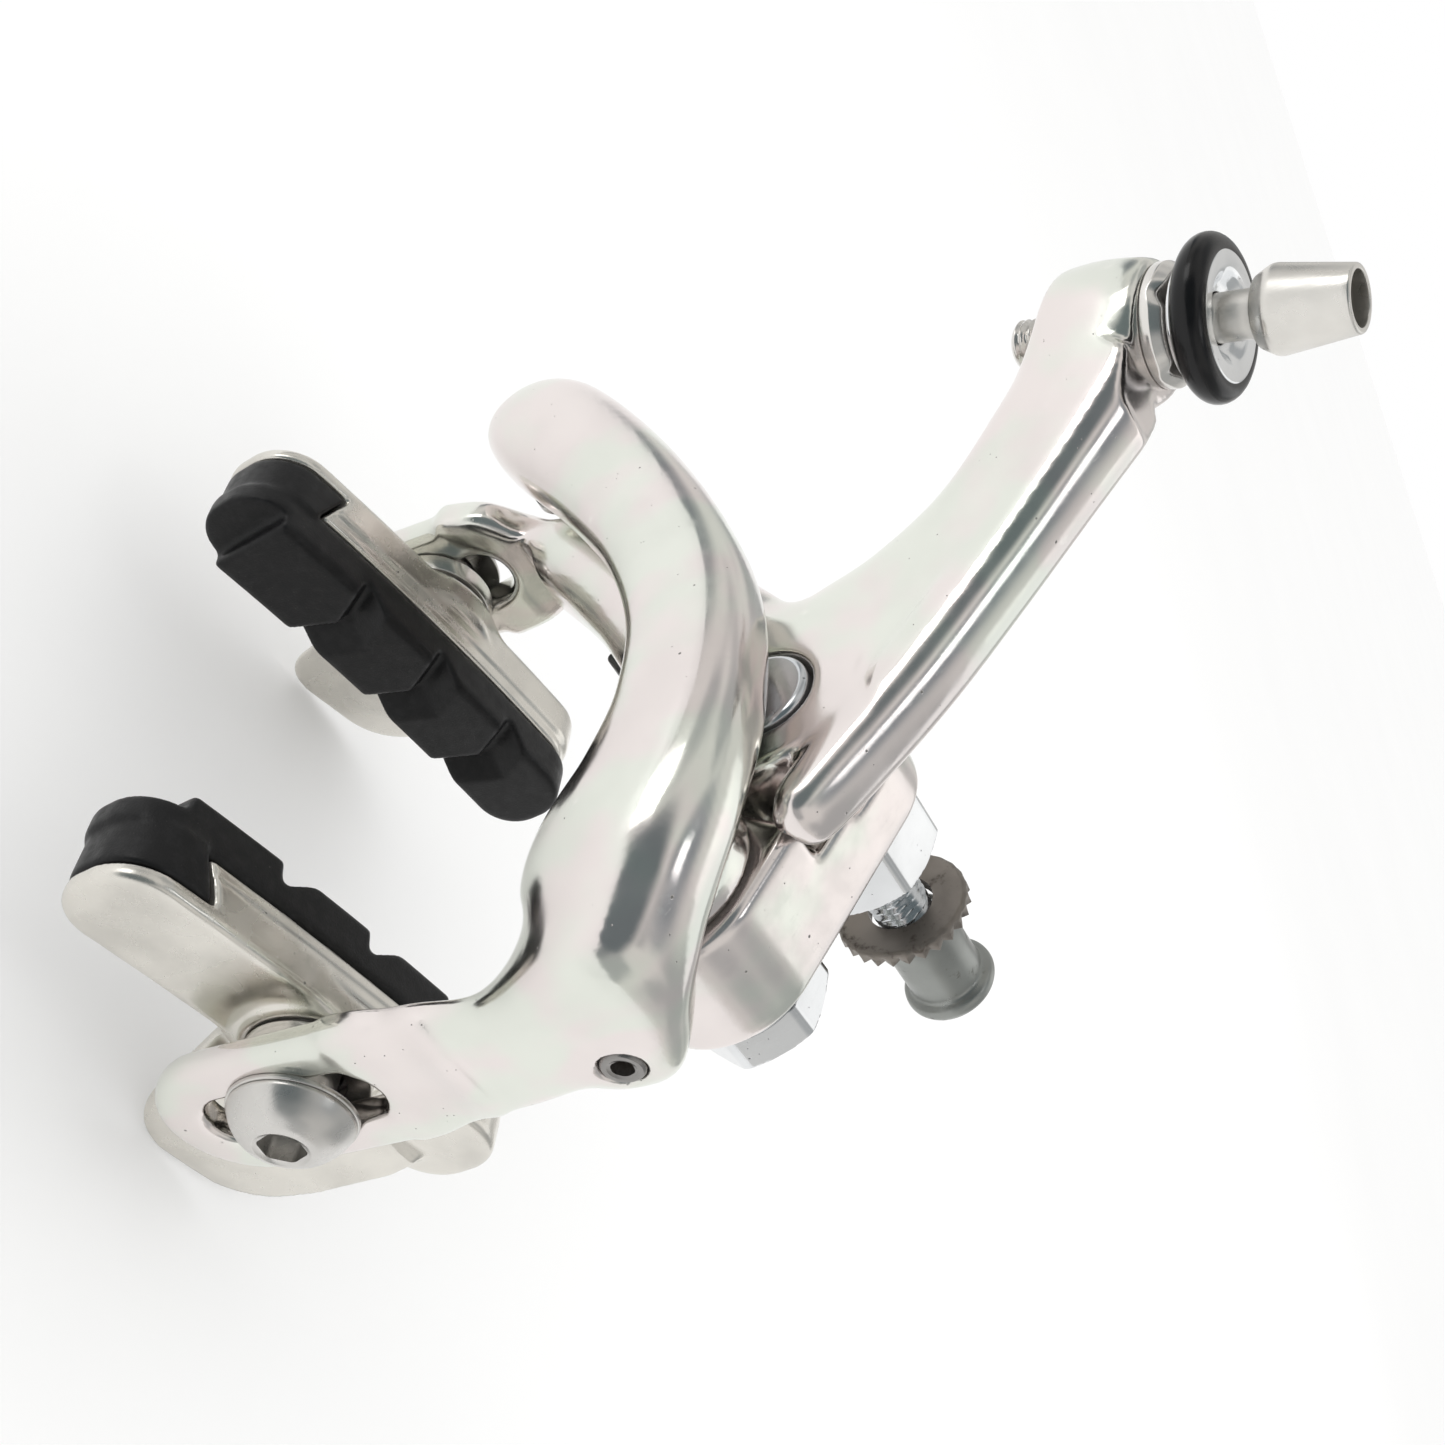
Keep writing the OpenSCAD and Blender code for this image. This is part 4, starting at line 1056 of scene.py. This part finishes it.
def build_holder(side):
    f = Field((0.5, -34, -24), (11.5, 28, 9), SHOE_STEP)
    f.join(pad_layer(f, PAD_LENGTH - 1, PAD_HEIGHT + 1, 5, HOLDER_BACK, 7.9, 0.9))
    f.join(pad_layer(f, PAD_LENGTH - 1.9, PAD_HEIGHT + 0.2, 4.7, 6, HOLDER_FRONT, 0.5), 0.25)
    r = np.hypot(f.y, f.z)
    boss = smax(r - 6.4, np.maximum(2.75 - f.x, f.x - 5), 0.4)
    f.join(boss, 2.2)
    # wheel guide: a thin rounded tongue, flared away from the rim
    flare, yaw = math.tan(math.radians(11)), math.tan(math.radians(8))
    y = f.y - 6.2
    z = f.z + 4
    wide = np.maximum(-12.0 + np.maximum(-z - 2, 0) * 0.22 - y,
                      y - 11.0 + np.maximum(-z - 2, 0) * 0.30)
    tongue = smax(smax(wide, -z - 17.6, 5.0), z - 1, 0.5)
    lean = f.x - HOLDER_BACK - 0.6 - z * flare + y * yaw * 0.9
    f.join(smax(tongue, np.abs(lean) - 0.6, 0.5), 1.6)
    f.cut(pad_layer(f, PAD_LENGTH - 4, PAD_HEIGHT - 2.4, 4, 6.0, HOLDER_FRONT + 1, 0.3), 0.3)
    mouth = f.y - PAD_SHIFT + PAD_LENGTH / 2 - MOUTH_LENGTH + 0.45 * (f.x - MOUTH_X)
    f.cut(smax(mouth, MOUTH_X - f.x, 0.5), 0.3)
    f.cut(np.maximum(r - 3.05, np.maximum(-2 - f.x, f.x - 8.2)), 0.3)
    f.cut(np.maximum(r - 5.62, np.maximum(-2 - f.x, f.x - HOLDER_BACK)), 0.1)
    f.soften(1)
    word = pad[side]["word"]
    piece = surface(f, f"{word}_tray", shoe_place(side), side > 0, 2)
    finish_piece(piece, f"{word}_pad_holder", "holder_alloy")


def build_insert(side):
    f = Field((4, -29, -9), (15.5, 25, 8), SHOE_STEP)
    f.join(pad_layer(f, PAD_LENGTH - 4.2, PAD_HEIGHT - 2.6, 3.9, 6.1, FACE_DEPTH - 1, 0.3))
    f.join(pad_layer(f, PAD_LENGTH, PAD_HEIGHT, 4.6, HOLDER_FRONT, FACE_DEPTH, 0.9), 0.2)
    heel = pad_layer(f, PAD_LENGTH - 1.0, PAD_HEIGHT + 0.6, 4.8, MOUTH_X + 0.15, HOLDER_FRONT + 1)
    limit = f.y - PAD_SHIFT + PAD_LENGTH / 2 - MOUTH_LENGTH + 0.25 + 0.45 * (f.x - MOUTH_X)
    f.join(smax(heel, limit, 0.3), 0.15)
    # stepped end, thinner than the rubbing face
    y = f.y - PAD_SHIFT
    step_y = -PAD_LENGTH / 2 + 4.2
    f.cut(smax(y - step_y, FACE_DEPTH - 1.9 - f.x, 0.8), 0.5)
    # one-sided grooves, bent in the middle
    turn = math.radians(22)
    for at in (-8.0, 3.0, 14.0):
        across = (y - at) * math.cos(turn) + np.abs(f.z) * math.sin(turn)
        depth = np.interp(across, [-0.25, 0.0, 0.7, 3.4], [0.0, 2.0, 2.0, 0.0])
        f.cut((FACE_DEPTH - depth - f.x).astype(np.float32) * 0.8
              + np.where(depth > 0, 0, 1.0), 0.35)
    f.soften(1)
    word = pad[side]["word"]
    piece = surface(f, f"{word}_rubber", shoe_place(side), side > 0, 1)
    finish_piece(piece, f"{word}_pad_insert", "pad_rubber")


def build_pad_hardware(side):
    word = pad[side]["word"]
    at = (side * pad[side]["inner"], pad[side]["y"], pad[side]["z"])

    def part(name, node, slot, corners, **more):
        turned(f"{word}_{name}", f"{word}_{node}", slot, corners, at, (-side, 0, 0),
               (0, 1, 0.35), **more)

    outer = pad[side]["inner"] - pad[side]["outer"]
    extra = CONVEX_EXTRA[side]
    seat = outer - 0.5
    head = 5.7
    tip = hex_tip(4)
    bolt = [(0, seat - 0.9, 0), (tip, seat - 0.9, 0, 4.0), (tip, seat - 3.05, 0.05, 4.0),
            (2.55, seat - 3.35, 0.12), (3.1, seat - 3.15, 0.3), (4.3, seat - 2.45, 0.8),
            (5.2, seat - 1.35, 0.7), (head, seat - 0.35, 0.3), (head, seat, 0.12),
            (STUD_R, seat, 0), (STUD_R, HOLDER_BACK + extra + 4.2, 0.2),
            (STUD_R - 0.4, HOLDER_BACK + extra + 4.55, 0.1), (0, HOLDER_BACK + extra + 4.6, 0)]
    part("bolt", "pad_bolt", "satin_bolt", bolt, segments=96, spacing=0.35, angle=38)
    ring = [(STUD_R + 0.3, seat, 0.05), (5.9, seat, 0.15), (5.9, outer, 0.1),
            (STUD_R + 0.3, outer, 0.05)]
    part("flat_ring", "head_washer", "satin_bolt", ring, segments=80, closed=True)
    ball_x, ball_r, gap = 9.5, 9.0, 0.05
    hollow = [(STUD_R + 0.9, 0, 0.1), (6.0, 0, 0.2), (6.0, 2.2, 0.2)]
    for k in range(6):
        r = 5.7 - k * (5.7 - STUD_R - 0.9) / 5
        hollow.append((r, min(2.2, ball_x - gap - math.sqrt(ball_r ** 2 - r * r)), 0))
    part("cup_ring", "concave_washer", "bright_steel", hollow, segments=80, closed=True)
    dome = [(STUD_R + 0.3, HOLDER_BACK + extra, 0.1), (5.6, HOLDER_BACK + extra, 0.2)]
    for k in range(7):
        r = 5.6 - k * (5.6 - STUD_R - 0.3) / 6
        dome.append((r, ball_x - math.sqrt(ball_r ** 2 - r * r), 0))
    part("dome_ring", "convex_washer", "bright_steel", dome, segments=80, closed=True)


build_c_arm()
build_y_arm()
build_bridge()
build_spring()
build_centre_bolt()
build_nuts()
build_sleeve_nut()
build_serrated()
build_small_turned()
build_anchor()
build_centering_screw()
build_slider()
build_adjuster()
for side in (1, -1):
    build_holder(side)
    build_insert(side)
    build_pad_hardware(side)

# -------------------------------- stage, light and camera

floor_z = cad_low[2] - 0.0002
floor_mesh = bpy.data.meshes.new("floor")
FLOOR = 4.0
corners = [(x * FLOOR, y * FLOOR, floor_z) for x, y in ((-1, -1), (1, -1), (1, 1), (-1, 1))]
floor_mesh.from_pydata(corners, [], [(0, 1, 2, 3)])
floor = bpy.data.objects.new("floor", floor_mesh)
bpy.context.scene.collection.objects.link(floor)
paper = Nodes(bpy.data.materials.new("paper"))
paper_colour = paper.mix(paper.noise(0.01, 3.0), (0.93, 0.93, 0.925), (0.90, 0.90, 0.895))
floor_mesh.materials.append(paper.finish({
    "Base Color": paper_colour, "Roughness": 0.85, "Specular IOR Level": 0.1,
    "Emission Color": (1.0, 1.0, 1.0), "Emission Strength": 0.07}))

CAMERA_AT = Vector((0.1158, -0.1189, 0.0603))
RIGHT = Vector((-0.0901, 0.4434, 0.8918))
UP = Vector((-0.7002, -0.665, 0.2598))
BACK = Vector((0.7082, -0.601, 0.3704))
camera_data = bpy.data.cameras.new("camera")
camera_data.sensor_width = 36.0
camera_data.lens = 45.04
camera_data.shift_x = -0.0359
camera_data.shift_y = -0.0018
camera_data.clip_start = 0.005
camera = bpy.data.objects.new("camera", camera_data)
bpy.context.scene.collection.objects.link(camera)
turn = Matrix((RIGHT, UP, BACK)).transposed().to_quaternion()
camera.matrix_world = Matrix.Translation(CAMERA_AT) @ turn.to_matrix().to_4x4()
bpy.context.scene.camera = camera


LIGHT_DISTANCE = 0.6


def soft_light(name, direction, size, power):
    """A large square light aimed at the middle of the part."""
    data = bpy.data.lights.new(name, "AREA")
    data.shape = "SQUARE"
    data.size = size
    data.energy = power
    lamp = bpy.data.objects.new(name, data)
    middle = (cad_low + cad_high) / 2
    back = Vector(direction).normalized()
    lamp.location = middle + back * LIGHT_DISTANCE
    lamp.rotation_mode = "QUATERNION"
    lamp.rotation_quaternion = (-back).to_track_quat("-Z", "Y")
    bpy.context.scene.collection.objects.link(lamp)


soft_light("key", UP * 0.9 + BACK * 0.5 - RIGHT * 0.3, 0.22, 0.30)
soft_light("fill", BACK * 0.5 + RIGHT * 0.9, 0.14, 0.10)
soft_light("rear", (-0.3, 0.9, 0.7), 0.34, 0.20)


def studio():
    """Even white light, with soft darker zones that only shiny surfaces see."""
    m = Nodes(bpy.data.worlds.new("studio"), "ShaderNodeOutputWorld")
    way = m.add("ShaderNodeTexCoord").outputs["Generated"]

    def darker(tone, direction, low, high, shade):
        """Blends to the shade where the view nears the direction."""
        dot = m.add("ShaderNodeVectorMath", {0: way, 1: Vector(direction).normalized()},
                    operation="DOT_PRODUCT")
        return m.mix(m.ramp(dot.outputs["Value"], low, high), tone, shade)

    cloud = m.add("ShaderNodeTexNoise", {"Vector": way, "Scale": 1.6, "Detail": 1.5})
    tone = m.mix(m.ramp(cloud.outputs["Fac"], 0.40, 0.62), (0.74, 0.73, 0.71), (0.44, 0.45, 0.45))
    tone = darker(tone, BACK + UP * 0.25, 0.74, 0.92, (0.15, 0.18, 0.19))
    tone = darker(tone, BACK * 0.4 + RIGHT, 0.88, 0.99, (0.26, 0.29, 0.31))
    tone = darker(tone, UP - BACK * 0.6 - RIGHT * 0.3, 0.90, 0.985, (0.22, 0.24, 0.26))
    plain = m.add("ShaderNodeBackground", {"Color": (1.0, 1.0, 1.0), "Strength": 1.0})
    shown = m.add("ShaderNodeBackground", {"Color": tone, "Strength": 1.0})
    glossy = m.add("ShaderNodeLightPath").outputs["Is Glossy Ray"]
    pick = m.add("ShaderNodeMixShader", {0: glossy, 1: plain.outputs[0], 2: shown.outputs[0]})
    m.tree.links.new(pick.outputs[0], m.out.inputs[0])
    bpy.context.scene.world = m.owner


studio()
bpy.context.scene.view_settings.view_transform = "Standard"
